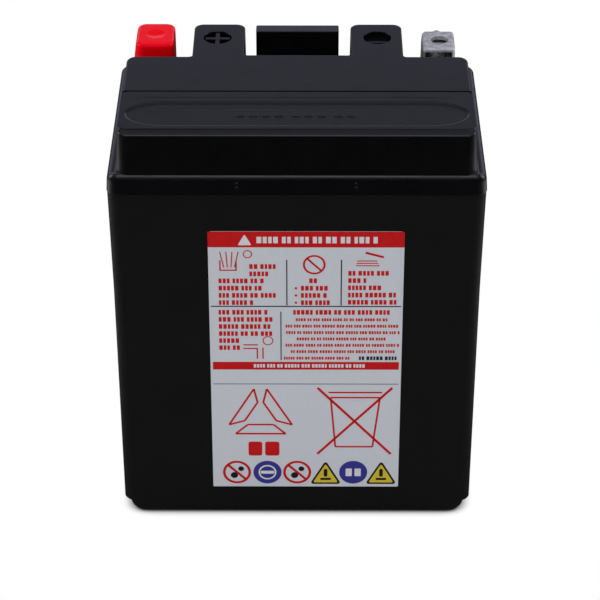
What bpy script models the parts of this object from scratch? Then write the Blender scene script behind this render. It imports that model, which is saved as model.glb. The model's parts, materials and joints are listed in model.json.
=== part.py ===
"""A sealed 12 V motorcycle battery: six cells in a partitioned case, a heat-sealed lid with two lead terminals,
a strip over the six valves, a red cap over the positive terminal, and the hardware held in each terminal.

Metres, +Z up. X runs along the cells with the positive terminal at -X, Y runs front to back with the terminals
at +Y, and the origin is the centre of the base.
"""

import math

import bmesh
import bpy
from mathutils import Matrix, Vector

# ---- Overall size -------------------------------------------------------------------------------------------
LENGTH = 0.135
WIDTH = 0.089
HEIGHT = 0.1659

GAP = 0.0003  # room between neighbouring pieces
THIN_GAP = 0.00005  # room behind a label that is stuck on
OVERLAP = 0.001  # how far a cutter or a joined shape reaches past a face
ROUND_STEPS = 24  # sides of a large round piece
SMALL_STEPS = 16  # sides of a small round piece
CORNER_STEPS = 3  # facets in a quarter-round corner

# ---- Case ---------------------------------------------------------------------------------------------------
CASE_TOP = 0.1426
CASE_CORNER = 0.0045
CASE_HALF_X_LOW = 0.0662
CASE_HALF_X_MID = 0.0667
CASE_HALF_X_HIGH = 0.0674
CASE_MID = 0.100
CASE_HALF_Y_LOW = 0.0437
CASE_HALF_Y_HIGH = 0.0443
FOOT_HALF_X = 0.0639
FOOT_HEIGHT = 0.0050
FOOT_RADIUS = 0.0032
WALL_START = 0.0068
CASE_FLOOR = 0.003
CASE_HEEL = 0.005  # thickening at the foot of both end walls, over the stepped-in foot

# ---- Cells --------------------------------------------------------------------------------------------------
CELLS = 6
CELLS_HALF_X = 0.064
CELLS_HALF_Y = 0.0415
PARTITION = 0.0015
CELL = (2 * CELLS_HALF_X - (CELLS - 1) * PARTITION) / CELLS

# ---- Plates, separators and the lead that joins them ---------------------------------------------------------
PLATES_IN_CELL = 9  # negative plates are even, positive plates are odd
PLATE = 0.0013
PLATE_SIDE_GAP = 0.0004
PLATE_PITCH = (CELL - 2 * PLATE_SIDE_GAP - PLATE) / (PLATES_IN_CELL - 1)
PLATE_HALF_Y = 0.0398
PLATE_BOTTOM = 0.0095
PLATE_TOP = 0.1215
SEPARATOR = 0.00045
SEPARATOR_HALF_Y = 0.04035
SEPARATOR_BOTTOM = 0.0085
SEPARATOR_TOP = 0.1235
LUG_HALF_Y = 0.0045
STRAP_Y = 0.0325
STRAP_HALF_Y = 0.0055
STRAP_BOTTOM = 0.1265
STRAP_TOP = 0.1305
FLAG_TOP = 0.1395
FLAG = 0.0016
FLAG_GAP = 0.00045
WELD_RADIUS = 0.004
WELD_Z = 0.135

# ---- Lid ----------------------------------------------------------------------------------------------------
LID_BOTTOM = 0.1429
LEDGE = 0.1485
SKIRT_CORNER = 0.004
SKIRT_RADIUS = 0.0018
PLATEAU_HALF_X = 0.0628
PLATEAU_FRONT = -0.0441
PLATEAU_REAR = 0.0157
PLATEAU_REAR_MIDDLE = 0.0170
PLATEAU_FRONT_CORNER = 0.003
PLATEAU_REAR_CORNER = 0.004
PLATEAU_RADIUS = 0.0012
PLATEAU_ROOT = 0.146  # the raised shapes start inside the skirt
TAB_REAR = 0.0430
TAB_CORNER = 0.0035
TABS = ((-0.0388, -0.0197), (0.0200, 0.0392))  # low X and high X
BAR_HALF_X = 0.0156
BAR_FRONT = 0.0369
BAR_REAR = 0.0422
BAR_RADIUS = 0.0005
LID_WALL = 0.0024
LID_INNER_HALF_X = 0.0650
LID_INNER_HALF_Y = 0.0420
LEDGE_UNDERSIDE = 0.1461

# ---- Polarity marks in the tabs ------------------------------------------------------------------------------
MARK_RADIUS = 0.0053
MARK_DEPTH = 0.0022
MARK_X = 0.0299
MARK_Y = 0.0316
MARK_HALF_LENGTH = 0.0046
MARK_HALF_WIDTH = 0.00095
PLUS_DEPTH = 0.0003
MINUS_DEPTH = 0.0013

# ---- Valve channel, nipples and rubber valve caps --------------------------------------------------------------
CHANNEL_FRONT = -0.0402
CHANNEL_REAR = -0.0127
CHANNEL_HALF_X = 0.0600
CHANNEL_FLOOR = 0.1550
CHANNEL_UNDERSIDE = 0.1525
VALVE_PITCH = 0.0202
VALVE_Y = -0.0264
NIPPLE_RADIUS = 0.0043
NIPPLE_BORE = 0.0020
NIPPLE_TOP = 0.1602
VALVE_RADIUS = 0.0060
VALVE_INNER_RADIUS = 0.0046
VALVE_BOTTOM = 0.1553
VALVE_TOP = 0.1616
VALVE_ROUND = 0.0008

# ---- Strip over the valves -------------------------------------------------------------------------------------
STRIP_HALF_X = 0.0630
STRIP_FRONT = -0.04045
STRIP_REAR = -0.01245
STRIP = 0.0030
STRIP_CORNER = 0.0025
STRIP_RADIUS = 0.0004
HOOK = 0.0011
HOOK_BOTTOM = 0.1588
HOOK_FRONT = -0.0385
HOOK_REAR = -0.0145
RIM = 0.0015
RIM_BOTTOM = 0.1595
STADIUM_HALF_X = 0.0600
STADIUM_END = 0.0140
STADIUM_FRONT = -0.0378
STADIUM_REAR = -0.0204
STADIUM_DEPTH = 0.0004

# ---- Terminals and their hardware --------------------------------------------------------------------------------
TERMINAL_X = 0.0528
TERMINAL_HALF_X = 0.0062
TERMINAL_FRONT = 0.0260
TERMINAL_REAR = 0.0413
TERMINAL_BOTTOM = 0.1488
TERMINAL_TOP = 0.1642
TERMINAL_SIDE = 0.0010
TERMINAL_BACK = 0.0018
TERMINAL_ROOF = 0.0016
TERMINAL_FLOOR = 0.0020
TERMINAL_RADIUS = 0.0008
TERMINAL_Y = (TERMINAL_FRONT + TERMINAL_REAR) / 2
HOLE_RADIUS = 0.0033
BOLT_Z = 0.1570
POST_RADIUS = 0.0040
POST_BOTTOM = 0.1398
STUB_RADIUS = 0.0035
BOSS_RADIUS = 0.0088
SEAL_INNER_RADIUS = 0.0043
SEAL_RADIUS = 0.0070
SEAL_BOTTOM = 0.1432
SEAL_TOP = 0.1467
BOLT_ACROSS_FLATS = 0.0100
BOLT_HEAD = 0.0038
BOLT_RADIUS = 0.0029
BOLT_LENGTH = 0.0120
BOLT_CHAMFER = 0.0006
NUT_ACROSS_FLATS = 0.0098
NUT = 0.0050
NUT_BORE = 0.0032
NUT_CHAMFER = 0.0005

# ---- Red cap over the positive terminal ----------------------------------------------------------------------------
CAP_X = -0.0531
CAP_HALF_X = 0.00775
CAP_FRONT = 0.0245
CAP_REAR = 0.0440
CAP_BOTTOM = 0.1490
CAP_TOP = 0.1660
CAP_WALL = 0.00095
CAP_ROOF = 0.0012
CAP_CORNER = 0.0028
CAP_RADIUS = 0.0013
NOTCH_HALF_X = 0.0054
NOTCH_TOP = 0.1633

# ---- Label ---------------------------------------------------------------------------------------------------------
LABEL_LEFT = -0.0322
LABEL_RIGHT = 0.0383
LABEL_BOTTOM = 0.0132
LABEL_TOP = 0.1267
LABEL = 0.0002
LABEL_CORNER = 0.0015


def clear_scene():
    for obj in list(bpy.data.objects):
        bpy.data.objects.remove(obj, do_unlink=True)


def new_collection(name):
    collection = bpy.data.collections.new(name)
    bpy.context.scene.collection.children.link(collection)
    return collection


def new_material(name, colour, roughness, metallic=0.0):
    material = bpy.data.materials.new(name)
    material.use_nodes = True
    surface = material.node_tree.nodes["Principled BSDF"]
    surface.inputs["Base Color"].default_value = (*colour, 1.0)
    surface.inputs["Roughness"].default_value = roughness
    surface.inputs["Metallic"].default_value = metallic
    return material


# ---- Shapes: each adds itself to a bmesh ----------------------------------------------------------------------------
def add_box(bm, low, high):
    low, high = Vector(low), Vector(high)
    size = Matrix.Diagonal((*(high - low), 1.0))
    bmesh.ops.create_cube(bm, size=1.0, matrix=Matrix.Translation((low + high) / 2) @ size)


def add_rod(bm, radius, low, high, across, axis="Z", steps=ROUND_STEPS):
    """A cylinder from low to high along the axis. across holds its place on the other two axes, in XYZ order."""
    turn = {"X": Matrix.Rotation(math.pi / 2, 4, "Y"), "Y": Matrix.Rotation(math.pi / 2, 4, "X")}
    along = "XYZ".index(axis)
    centre = list(across)
    centre.insert(along, (low + high) / 2)
    matrix = Matrix.Translation(centre) @ turn.get(axis, Matrix.Identity(4))
    bmesh.ops.create_cone(
        bm, cap_ends=True, segments=steps, radius1=radius, radius2=radius, depth=high - low, matrix=matrix
    )


def add_prism(bm, outline, low, high, axis="Z"):
    """The outline, given on the other two axes in XYZ order, drawn out from low to high along the axis."""
    along = "XYZ".index(axis)
    corners = []
    for point in outline:
        place = list(point)
        place.insert(along, low)
        corners.append(bm.verts.new(place))
    face = bm.faces.new(corners)
    made = bmesh.ops.extrude_face_region(bm, geom=[face])
    raised = [item for item in made["geom"] if isinstance(item, bmesh.types.BMVert)]
    step = Vector((0.0, 0.0, 0.0))
    step[along] = high - low
    bmesh.ops.translate(bm, verts=raised, vec=step)
    bmesh.ops.recalc_face_normals(bm, faces=bm.faces)


def add_loft(bm, rings):
    """A closed solid through a stack of rings that all have the same number of points."""
    loops = [[bm.verts.new(point) for point in ring] for ring in rings]
    for lower, upper in zip(loops, loops[1:]):
        for i in range(len(lower)):
            before = i - 1
            bm.faces.new((lower[before], lower[i], upper[i], upper[before]))
    bm.faces.new(reversed(loops[0]))
    bm.faces.new(loops[-1])
    bmesh.ops.recalc_face_normals(bm, faces=bm.faces)


# ---- Outlines ---------------------------------------------------------------------------------------------------------
def rounded_outline(corners, steps=CORNER_STEPS):
    """Points round a closed outline whose corners are (x, y, radius), each turned with an arc of that radius."""
    points = []
    for i, (x, y, radius) in enumerate(corners):
        here = Vector((x, y))
        if radius == 0:
            points.append(tuple(here))
            continue
        before = (Vector(corners[i - 1][:2]) - here).normalized()
        after = (Vector(corners[(i + 1) % len(corners)][:2]) - here).normalized()
        half = before.angle(after) / 2
        centre = here + (before + after).normalized() * (radius / math.sin(half))
        start = here + before * (radius / math.tan(half)) - centre
        end = here + after * (radius / math.tan(half)) - centre
        first = math.atan2(start.y, start.x)
        sweep = (math.atan2(end.y, end.x) - first + math.pi) % (2 * math.pi) - math.pi
        for step in range(steps + 1):
            angle = first + sweep * step / steps
            points.append((centre.x + radius * math.cos(angle), centre.y + radius * math.sin(angle)))
    return points


def rounded_rectangle(low, high, radius, steps=CORNER_STEPS):
    corners = [(low[0], low[1]), (high[0], low[1]), (high[0], high[1]), (low[0], high[1])]
    return rounded_outline([(x, y, radius) for x, y in corners], steps)


def regular_outline(sides, across_flats, centre, first_angle):
    reach = across_flats / 2 / math.cos(math.pi / sides)
    angles = [first_angle + 2 * math.pi * i / sides for i in range(sides)]
    return [(centre[0] + reach * math.cos(a), centre[1] + reach * math.sin(a)) for a in angles]


def ring(half_x, half_y, corner, z, centre=(0.0, 0.0)):
    low = (centre[0] - half_x, centre[1] - half_y)
    high = (centre[0] + half_x, centre[1] + half_y)
    return [(x, y, z) for x, y in rounded_rectangle(low, high, corner)]


def arc_steps(radius, count=2):
    """(inset, rise) pairs round a convex quarter arc, from its flat end to its upright end."""
    angles = [math.pi / 2 * i / count for i in range(count + 1)]
    return [(radius * (1 - math.sin(a)), radius * (1 - math.cos(a))) for a in angles]


# ---- Objects ----------------------------------------------------------------------------------------------------------
class Workshop:
    """Makes objects in the battery's collection and tools in the cutters' collection."""

    def __init__(self):
        self.parts = new_collection("motorcycle_battery")
        self.cutters = new_collection("cutters")
        self.tool_count = 0

    def piece(self, bm, name, material, origin=(0.0, 0.0, 0.0)):
        obj = self._object(bm, name, self.parts, origin)
        obj.data.materials.append(material)
        return obj

    def tool(self, bm):
        self.tool_count += 1
        obj = self._object(bm, f"tool_{self.tool_count:03d}", self.cutters, (0.0, 0.0, 0.0))
        obj.hide_render = True
        obj.display_type = "WIRE"
        return obj

    def cut(self, obj, bm):
        self._boolean(obj, bm, "DIFFERENCE")

    def join(self, obj, bm):
        self._boolean(obj, bm, "UNION")

    def _boolean(self, obj, bm, operation):
        modifier = obj.modifiers.new(operation.lower(), "BOOLEAN")
        modifier.operation = operation
        modifier.object = self.tool(bm)

    def _object(self, bm, name, collection, origin):
        bmesh.ops.translate(bm, verts=bm.verts, vec=-Vector(origin))
        mesh = bpy.data.meshes.new(name)
        bm.to_mesh(mesh)
        bm.free()
        obj = bpy.data.objects.new(name, mesh)
        obj.location = origin
        collection.objects.link(obj)
        return obj


def bevel(obj, width, segments=2, angle=60.0):
    modifier = obj.modifiers.new("bevel", "BEVEL")
    modifier.width = width
    modifier.segments = segments
    modifier.limit_method = "ANGLE"
    modifier.angle_limit = math.radians(angle)


def smooth(obj, angle=30.0):
    obj.data.shade_smooth()
    obj.data.set_sharp_from_angle(angle=math.radians(angle))


def box_mesh(low, high):
    bm = bmesh.new()
    add_box(bm, low, high)
    return bm


def rod_mesh(radius, low, high, across, axis="Z", steps=ROUND_STEPS):
    bm = bmesh.new()
    add_rod(bm, radius, low, high, across, axis, steps)
    return bm


def prism_mesh(outline, low, high, axis="Z"):
    bm = bmesh.new()
    add_prism(bm, outline, low, high, axis)
    return bm


# ---- Places that several pieces share ---------------------------------------------------------------------------------
def cell_range(cell):
    """Low and high X of a cell, counted from 0 at the positive end."""
    low = -CELLS_HALF_X + cell * (CELL + PARTITION)
    return low, low + CELL


def plate_x(cell, plate):
    """Low X of a plate, counted from 0 in its cell."""
    return cell_range(cell)[0] + PLATE_SIDE_GAP + plate * PLATE_PITCH


def positive_side(cell):
    """+1 where the cell's positive strap is at the back, -1 where it is at the front."""
    return 1 if cell % 2 == 0 else -1


def valve_x(cell):
    return (cell - (CELLS - 1) / 2) * VALVE_PITCH


def case_half_y(z):
    share = (z - WALL_START) / (CASE_TOP - WALL_START)
    return CASE_HALF_Y_LOW + share * (CASE_HALF_Y_HIGH - CASE_HALF_Y_LOW)


# ---- Case -------------------------------------------------------------------------------------------------------------
def make_case(shop, plastic):
    levels = []
    for inset, rise in arc_steps(FOOT_RADIUS):
        levels.append((rise, FOOT_HALF_X - inset, CASE_HALF_Y_LOW - inset))
    step_out = CASE_HALF_X_LOW - FOOT_HALF_X
    for share, rise in ((0.0, FOOT_HEIGHT), (0.4, FOOT_HEIGHT + 0.0004), (0.85, FOOT_HEIGHT + 0.0014)):
        levels.append((rise, FOOT_HALF_X + share * step_out, CASE_HALF_Y_LOW))
    levels.append((WALL_START, CASE_HALF_X_LOW, CASE_HALF_Y_LOW))
    levels.append((CASE_MID, CASE_HALF_X_MID, case_half_y(CASE_MID)))
    levels.append((CASE_TOP, CASE_HALF_X_HIGH, CASE_HALF_Y_HIGH))
    bm = bmesh.new()
    add_loft(bm, [ring(half_x, half_y, CASE_CORNER, z) for z, half_x, half_y in levels])
    case = shop.piece(bm, "case", plastic)
    for cell in range(CELLS):
        low, high = cell_range(cell)
        left_heel = CASE_HEEL if cell == 0 else 0.0
        right_heel = CASE_HEEL if cell == CELLS - 1 else 0.0
        outline = [
            (low + left_heel, CASE_FLOOR),
            (high - right_heel, CASE_FLOOR),
            (high, CASE_FLOOR + right_heel),
            (high, CASE_TOP + OVERLAP),
            (low, CASE_TOP + OVERLAP),
            (low, CASE_FLOOR + left_heel),
        ]
        outline = [point for i, point in enumerate(outline) if point != outline[i - 1]]
        shop.cut(case, prism_mesh(outline, -CELLS_HALF_Y, CELLS_HALF_Y, "Y"))
    for cell in range(CELLS - 1):
        wall = cell_range(cell)[1]
        across = (-positive_side(cell) * STRAP_Y, WELD_Z)
        shop.cut(case, rod_mesh(WELD_RADIUS + GAP, wall - OVERLAP, wall + PARTITION + OVERLAP, across, "X"))
    smooth(case)


# ---- Cell contents ----------------------------------------------------------------------------------------------------
def make_plate_group(shop, name, cell, plates, side, flag_at_left, has_flag, lead):
    """A comb of plates under a cast strap, with a flag against the partition or a stub under a terminal."""
    strap_y = side * STRAP_Y
    low, high = cell_range(cell)
    first = plate_x(cell, plates[0])
    last = plate_x(cell, plates[-1]) + PLATE
    flag_low, flag_high = low + FLAG_GAP, high - FLAG_GAP
    outline = [(first, STRAP_BOTTOM), (last, STRAP_BOTTOM), (last, STRAP_TOP), (first, STRAP_TOP)]
    if has_flag and flag_at_left:
        outline = [
            (flag_low, STRAP_BOTTOM),
            (last, STRAP_BOTTOM),
            (last, STRAP_TOP),
            (flag_low + FLAG, STRAP_TOP),
            (flag_low + FLAG, FLAG_TOP),
            (flag_low, FLAG_TOP),
        ]
    elif has_flag:
        outline = [
            (first, STRAP_BOTTOM),
            (flag_high, STRAP_BOTTOM),
            (flag_high, FLAG_TOP),
            (flag_high - FLAG, FLAG_TOP),
            (flag_high - FLAG, STRAP_TOP),
            (first, STRAP_TOP),
        ]
    bm = prism_mesh(outline, strap_y - STRAP_HALF_Y, strap_y + STRAP_HALF_Y, "Y")
    group = shop.piece(bm, name, lead)
    comb = bmesh.new()
    lug_low, lug_high = strap_y - LUG_HALF_Y, strap_y + LUG_HALF_Y
    lug_top = (STRAP_BOTTOM + STRAP_TOP) / 2
    plate_outline = [
        (-PLATE_HALF_Y, PLATE_BOTTOM),
        (PLATE_HALF_Y, PLATE_BOTTOM),
        (PLATE_HALF_Y, PLATE_TOP),
        (lug_high, PLATE_TOP),
        (lug_high, lug_top),
        (lug_low, lug_top),
        (lug_low, PLATE_TOP),
        (-PLATE_HALF_Y, PLATE_TOP),
    ]
    for plate in plates:
        x = plate_x(cell, plate)
        add_prism(comb, plate_outline, x + THIN_GAP, x + PLATE - THIN_GAP, "X")
    shop.join(group, comb)
    if not has_flag:
        post_x = math.copysign(TERMINAL_X, low + high)
        stub_low = (STRAP_BOTTOM + STRAP_TOP) / 2
        shop.join(group, rod_mesh(STUB_RADIUS, stub_low, FLAG_TOP, (post_x, TERMINAL_Y), steps=SMALL_STEPS))


def make_separator(shop, cell, glass_mat):
    """One glass mat per cell, folded to and fro between the plates."""
    bm = bmesh.new()
    path = []
    for sheet in range(PLATES_IN_CELL - 1):
        x = plate_x(cell, sheet) + (PLATE + PLATE_PITCH) / 2
        turn = 1 if sheet % 2 == 0 else -1
        path += [(x, -turn * SEPARATOR_HALF_Y), (x, turn * SEPARATOR_HALF_Y)]
    low = [bm.verts.new((x, y, SEPARATOR_BOTTOM)) for x, y in path]
    high = [bm.verts.new((x, y, SEPARATOR_TOP)) for x, y in path]
    for i in range(len(path) - 1):
        bm.faces.new((low[i], low[i + 1], high[i + 1], high[i]))
    separator = shop.piece(bm, f"separator_{cell + 1}", glass_mat)
    shell = separator.modifiers.new("thickness", "SOLIDIFY")
    shell.thickness = SEPARATOR
    shell.offset = 0.0
    shell.use_even_offset = True


def make_cells(shop, materials):
    for cell in range(CELLS):
        side = positive_side(cell)
        evens = list(range(0, PLATES_IN_CELL, 2))
        odds = list(range(1, PLATES_IN_CELL, 2))
        positive = f"positive_plates_{cell + 1}"
        negative = f"negative_plates_{cell + 1}"
        make_plate_group(shop, positive, cell, odds, side, True, cell > 0, materials["lead_dioxide"])
        make_plate_group(shop, negative, cell, evens, -side, False, cell < CELLS - 1, materials["lead"])
        make_separator(shop, cell, materials["glass_mat"])
    for cell in range(CELLS - 1):
        wall = cell_range(cell)[1]
        across = (-positive_side(cell) * STRAP_Y, WELD_Z)
        reach = FLAG_GAP - GAP / 2
        bm = rod_mesh(WELD_RADIUS, wall - reach, wall + PARTITION + reach, across, "X")
        smooth(shop.piece(bm, f"cell_weld_{cell + 1}", materials["lead"]))


# ---- Lid --------------------------------------------------------------------------------------------------------------
def raised_outline():
    """Plan of the plateau with its two tabs, counter-clockwise from the front left."""
    (left_low, left_high), (right_low, right_high) = TABS
    return rounded_outline(
        [
            (-PLATEAU_HALF_X, PLATEAU_FRONT, PLATEAU_FRONT_CORNER),
            (PLATEAU_HALF_X, PLATEAU_FRONT, PLATEAU_FRONT_CORNER),
            (PLATEAU_HALF_X, PLATEAU_REAR, PLATEAU_REAR_CORNER),
            (right_high, PLATEAU_REAR, 0),
            (right_high, TAB_REAR, TAB_CORNER),
            (right_low, TAB_REAR, TAB_CORNER),
            (right_low, PLATEAU_REAR_MIDDLE, 0),
            (left_high, PLATEAU_REAR_MIDDLE, 0),
            (left_high, TAB_REAR, TAB_CORNER),
            (left_low, TAB_REAR, TAB_CORNER),
            (left_low, PLATEAU_REAR, 0),
            (-PLATEAU_HALF_X, PLATEAU_REAR, PLATEAU_REAR_CORNER),
        ]
    )


def hollow_lid(shop, lid):
    """One hollow per cell, so that the webs left between them seal against the case's partitions."""
    roof = HEIGHT - LID_WALL
    below = LID_BOTTOM - OVERLAP
    for cell in range(CELLS):
        low, high = cell_range(cell)
        wide_low = -LID_INNER_HALF_X if cell == 0 else low
        wide_high = LID_INNER_HALF_X if cell == CELLS - 1 else high
        narrow_low = max(low, -PLATEAU_HALF_X + LID_WALL)
        narrow_high = min(high, PLATEAU_HALF_X - LID_WALL)
        hollows = [
            ((wide_low, -LID_INNER_HALF_Y), (wide_high, LID_INNER_HALF_Y), LEDGE_UNDERSIDE),
            ((narrow_low, PLATEAU_FRONT + LID_WALL), (narrow_high, CHANNEL_REAR), CHANNEL_UNDERSIDE),
            ((narrow_low, CHANNEL_REAR + LID_WALL), (narrow_high, PLATEAU_REAR - LID_WALL), roof),
        ]
        for tab_low, tab_high in TABS:
            inner_low, inner_high = max(low, tab_low + LID_WALL), min(high, tab_high - LID_WALL)
            if inner_high - inner_low > CELL / 2:
                front = PLATEAU_REAR - 2 * LID_WALL
                tab_roof = roof - MARK_DEPTH
                hollows.append(((inner_low, front), (inner_high, TAB_REAR - LID_WALL), tab_roof))
        for corner_low, corner_high, top in hollows:
            shop.cut(lid, box_mesh((*corner_low, below), (*corner_high, top)))


def cut_channel(shop, lid):
    above = HEIGHT + OVERLAP
    shop.cut(
        lid,
        box_mesh((-CHANNEL_HALF_X, CHANNEL_FRONT, CHANNEL_FLOOR), (CHANNEL_HALF_X, CHANNEL_REAR, above)),
    )
    seat = HEIGHT - STRIP - GAP
    past = PLATEAU_HALF_X + OVERLAP
    shop.cut(lid, box_mesh((-past, STRIP_FRONT - GAP, seat), (past, STRIP_REAR + GAP, above)))
    hook_inner = STRIP_HALF_X - HOOK - GAP
    for low, high in ((-past, -hook_inner), (hook_inner, past)):
        corner_low = (low, HOOK_FRONT - GAP, HOOK_BOTTOM - GAP)
        shop.cut(lid, box_mesh(corner_low, (high, HOOK_REAR + GAP, above)))
    for cell in range(CELLS):
        across = (valve_x(cell), VALVE_Y)
        root = (CHANNEL_UNDERSIDE + CHANNEL_FLOOR) / 2
        shop.join(lid, rod_mesh(NIPPLE_RADIUS, root, NIPPLE_TOP, across, steps=SMALL_STEPS))
        low, high = CHANNEL_UNDERSIDE - OVERLAP, NIPPLE_TOP + OVERLAP
        shop.cut(lid, rod_mesh(NIPPLE_BORE, low, high, across, steps=SMALL_STEPS))


def mark_polarity(shop, lid):
    for side, depth in ((-1, PLUS_DEPTH), (1, MINUS_DEPTH)):
        x = side * MARK_X
        floor = HEIGHT - MARK_DEPTH
        shop.cut(lid, rod_mesh(MARK_RADIUS, floor, HEIGHT + OVERLAP, (x, MARK_Y)))
        long, wide, root = MARK_HALF_LENGTH, MARK_HALF_WIDTH, floor - OVERLAP / 2
        bar = box_mesh((x - long, MARK_Y - wide, root), (x + long, MARK_Y + wide, HEIGHT - depth))
        shop.join(lid, bar)
        if side < 0:
            cross = box_mesh((x - wide, MARK_Y - long, root), (x + wide, MARK_Y + long, HEIGHT - depth))
            shop.join(lid, cross)


def bore_for_posts(shop, lid):
    for side in (-1, 1):
        across = (side * TERMINAL_X, TERMINAL_Y)
        boss_top = (LEDGE_UNDERSIDE + LEDGE) / 2
        shop.join(lid, rod_mesh(BOSS_RADIUS, LID_BOTTOM, boss_top, across))
        below = LID_BOTTOM - OVERLAP
        shop.cut(lid, rod_mesh(SEAL_RADIUS + GAP, below, SEAL_TOP + GAP, across))
        shop.cut(lid, rod_mesh(POST_RADIUS + GAP, below, LEDGE + OVERLAP, across, steps=SMALL_STEPS))


def make_lid(shop, plastic):
    half_x, half_y = LENGTH / 2, WIDTH / 2
    rings = [ring(half_x, half_y, SKIRT_CORNER, LID_BOTTOM)]
    for inset, rise in reversed(arc_steps(SKIRT_RADIUS)):
        rings.append(ring(half_x - inset, half_y - inset, SKIRT_CORNER - inset, LEDGE - rise))
    bm = bmesh.new()
    add_loft(bm, rings)
    lid = shop.piece(bm, "lid", plastic)
    raised = prism_mesh(raised_outline(), PLATEAU_ROOT, HEIGHT)
    shop.join(lid, raised)
    bevel(lid.modifiers[-1].object, PLATEAU_RADIUS)
    bar = box_mesh((-BAR_HALF_X, BAR_FRONT, PLATEAU_ROOT), (BAR_HALF_X, BAR_REAR, HEIGHT))
    shop.join(lid, bar)
    bevel(lid.modifiers[-1].object, BAR_RADIUS)
    hollow_lid(shop, lid)
    cut_channel(shop, lid)
    mark_polarity(shop, lid)
    bore_for_posts(shop, lid)
    smooth(lid)


# ---- Valves and their strip -------------------------------------------------------------------------------------------
def make_valve_caps(shop, rubber):
    """Each rubber cap is a turned cup, upside down over its nipple."""
    roof = VALVE_TOP - (NIPPLE_TOP + GAP)
    for cell in range(CELLS):
        profile = [(0.0, VALVE_TOP)]
        for inset, rise in arc_steps(VALVE_ROUND):
            profile.append((VALVE_RADIUS - inset, VALVE_TOP - rise))
        profile.append((VALVE_RADIUS, VALVE_BOTTOM))
        profile.append((VALVE_INNER_RADIUS, VALVE_BOTTOM))
        profile.append((VALVE_INNER_RADIUS, VALVE_TOP - roof))
        profile.append((0.0, VALVE_TOP - roof))
        bm = bmesh.new()
        points = [bm.verts.new((r, 0.0, z - VALVE_BOTTOM)) for r, z in profile]
        for start, end in zip(points, points[1:]):
            bm.edges.new((start, end))
        valve = shop.piece(bm, f"valve_cap_{cell + 1}", rubber)
        valve.location = (valve_x(cell), VALVE_Y, VALVE_BOTTOM)
        turned = valve.modifiers.new("turned", "SCREW")
        turned.steps = ROUND_STEPS
        turned.render_steps = ROUND_STEPS
        turned.use_merge_vertices = True
        turned.merge_threshold = 0.00001
        turned.use_smooth_shade = True


def stadium_outline():
    """A long recess with half-ellipse ends."""
    middle = (STADIUM_FRONT + STADIUM_REAR) / 2
    half_y = (STADIUM_REAR - STADIUM_FRONT) / 2
    straight = STADIUM_HALF_X - STADIUM_END
    points = []
    for side in (1, -1):
        for step in range(2 * CORNER_STEPS + 1):
            angle = -math.pi / 2 + math.pi * step / (2 * CORNER_STEPS)
            x = straight + STADIUM_END * math.cos(angle)
            points.append((side * x, middle + side * half_y * math.sin(angle)))
    return points


def make_vent_strip(shop, plastic):
    seat = HEIGHT - STRIP
    outline = rounded_rectangle((-STRIP_HALF_X, STRIP_FRONT), (STRIP_HALF_X, STRIP_REAR), STRIP_CORNER)
    strip = shop.piece(prism_mesh(outline, seat, HEIGHT), "vent_strip", plastic)
    bevel(strip, STRIP_RADIUS, segments=1)
    inside = seat + STRIP / 2
    for low, high in ((-STRIP_HALF_X, -STRIP_HALF_X + HOOK), (STRIP_HALF_X - HOOK, STRIP_HALF_X)):
        shop.join(strip, box_mesh((low, HOOK_FRONT, HOOK_BOTTOM), (high, HOOK_REAR, inside)))
    rim_half_x = CHANNEL_HALF_X - GAP
    rim_front, rim_rear = CHANNEL_FRONT + GAP, CHANNEL_REAR - GAP
    shop.join(strip, box_mesh((-rim_half_x, rim_front, RIM_BOTTOM), (rim_half_x, rim_rear, inside)))
    inner_low = (-rim_half_x + RIM, rim_front + RIM, RIM_BOTTOM - OVERLAP)
    shop.cut(strip, box_mesh(inner_low, (rim_half_x - RIM, rim_rear - RIM, seat)))
    shop.cut(strip, prism_mesh(stadium_outline(), HEIGHT - STADIUM_DEPTH, HEIGHT + OVERLAP))


# ---- Terminals --------------------------------------------------------------------------------------------------------
def make_terminal(shop, name, side, lead):
    """A lead box open at the front, with holes in its roof and its back, on a post that goes down through the lid."""
    x = side * TERMINAL_X
    low = (x - TERMINAL_HALF_X, TERMINAL_FRONT, TERMINAL_BOTTOM)
    high = (x + TERMINAL_HALF_X, TERMINAL_REAR, TERMINAL_TOP)
    terminal = shop.piece(box_mesh(low, high), name, lead)
    bevel(terminal, TERMINAL_RADIUS)
    inner_low = (low[0] + TERMINAL_SIDE, TERMINAL_FRONT - OVERLAP, TERMINAL_BOTTOM + TERMINAL_FLOOR)
    inner_high = (high[0] - TERMINAL_SIDE, TERMINAL_REAR - TERMINAL_BACK, TERMINAL_TOP - TERMINAL_ROOF)
    shop.cut(terminal, box_mesh(inner_low, inner_high))
    roof_hole = (TERMINAL_TOP - 2 * TERMINAL_ROOF, TERMINAL_TOP + OVERLAP)
    shop.cut(terminal, rod_mesh(HOLE_RADIUS, *roof_hole, (x, TERMINAL_Y)))
    back_hole = (TERMINAL_REAR - 2 * TERMINAL_BACK, TERMINAL_REAR + OVERLAP)
    shop.cut(terminal, rod_mesh(HOLE_RADIUS, *back_hole, (x, BOLT_Z), "Y"))
    post_top = TERMINAL_BOTTOM + TERMINAL_FLOOR / 2
    shop.join(terminal, rod_mesh(POST_RADIUS, POST_BOTTOM, post_top, (x, TERMINAL_Y)))
    smooth(terminal)


def make_seal(shop, name, side, rubber):
    across = (side * TERMINAL_X, TERMINAL_Y)
    seal = shop.piece(rod_mesh(SEAL_RADIUS, SEAL_BOTTOM, SEAL_TOP, across), name, rubber)
    shop.cut(seal, rod_mesh(SEAL_INNER_RADIUS, SEAL_BOTTOM - OVERLAP, SEAL_TOP + OVERLAP, across))
    smooth(seal)


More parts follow.
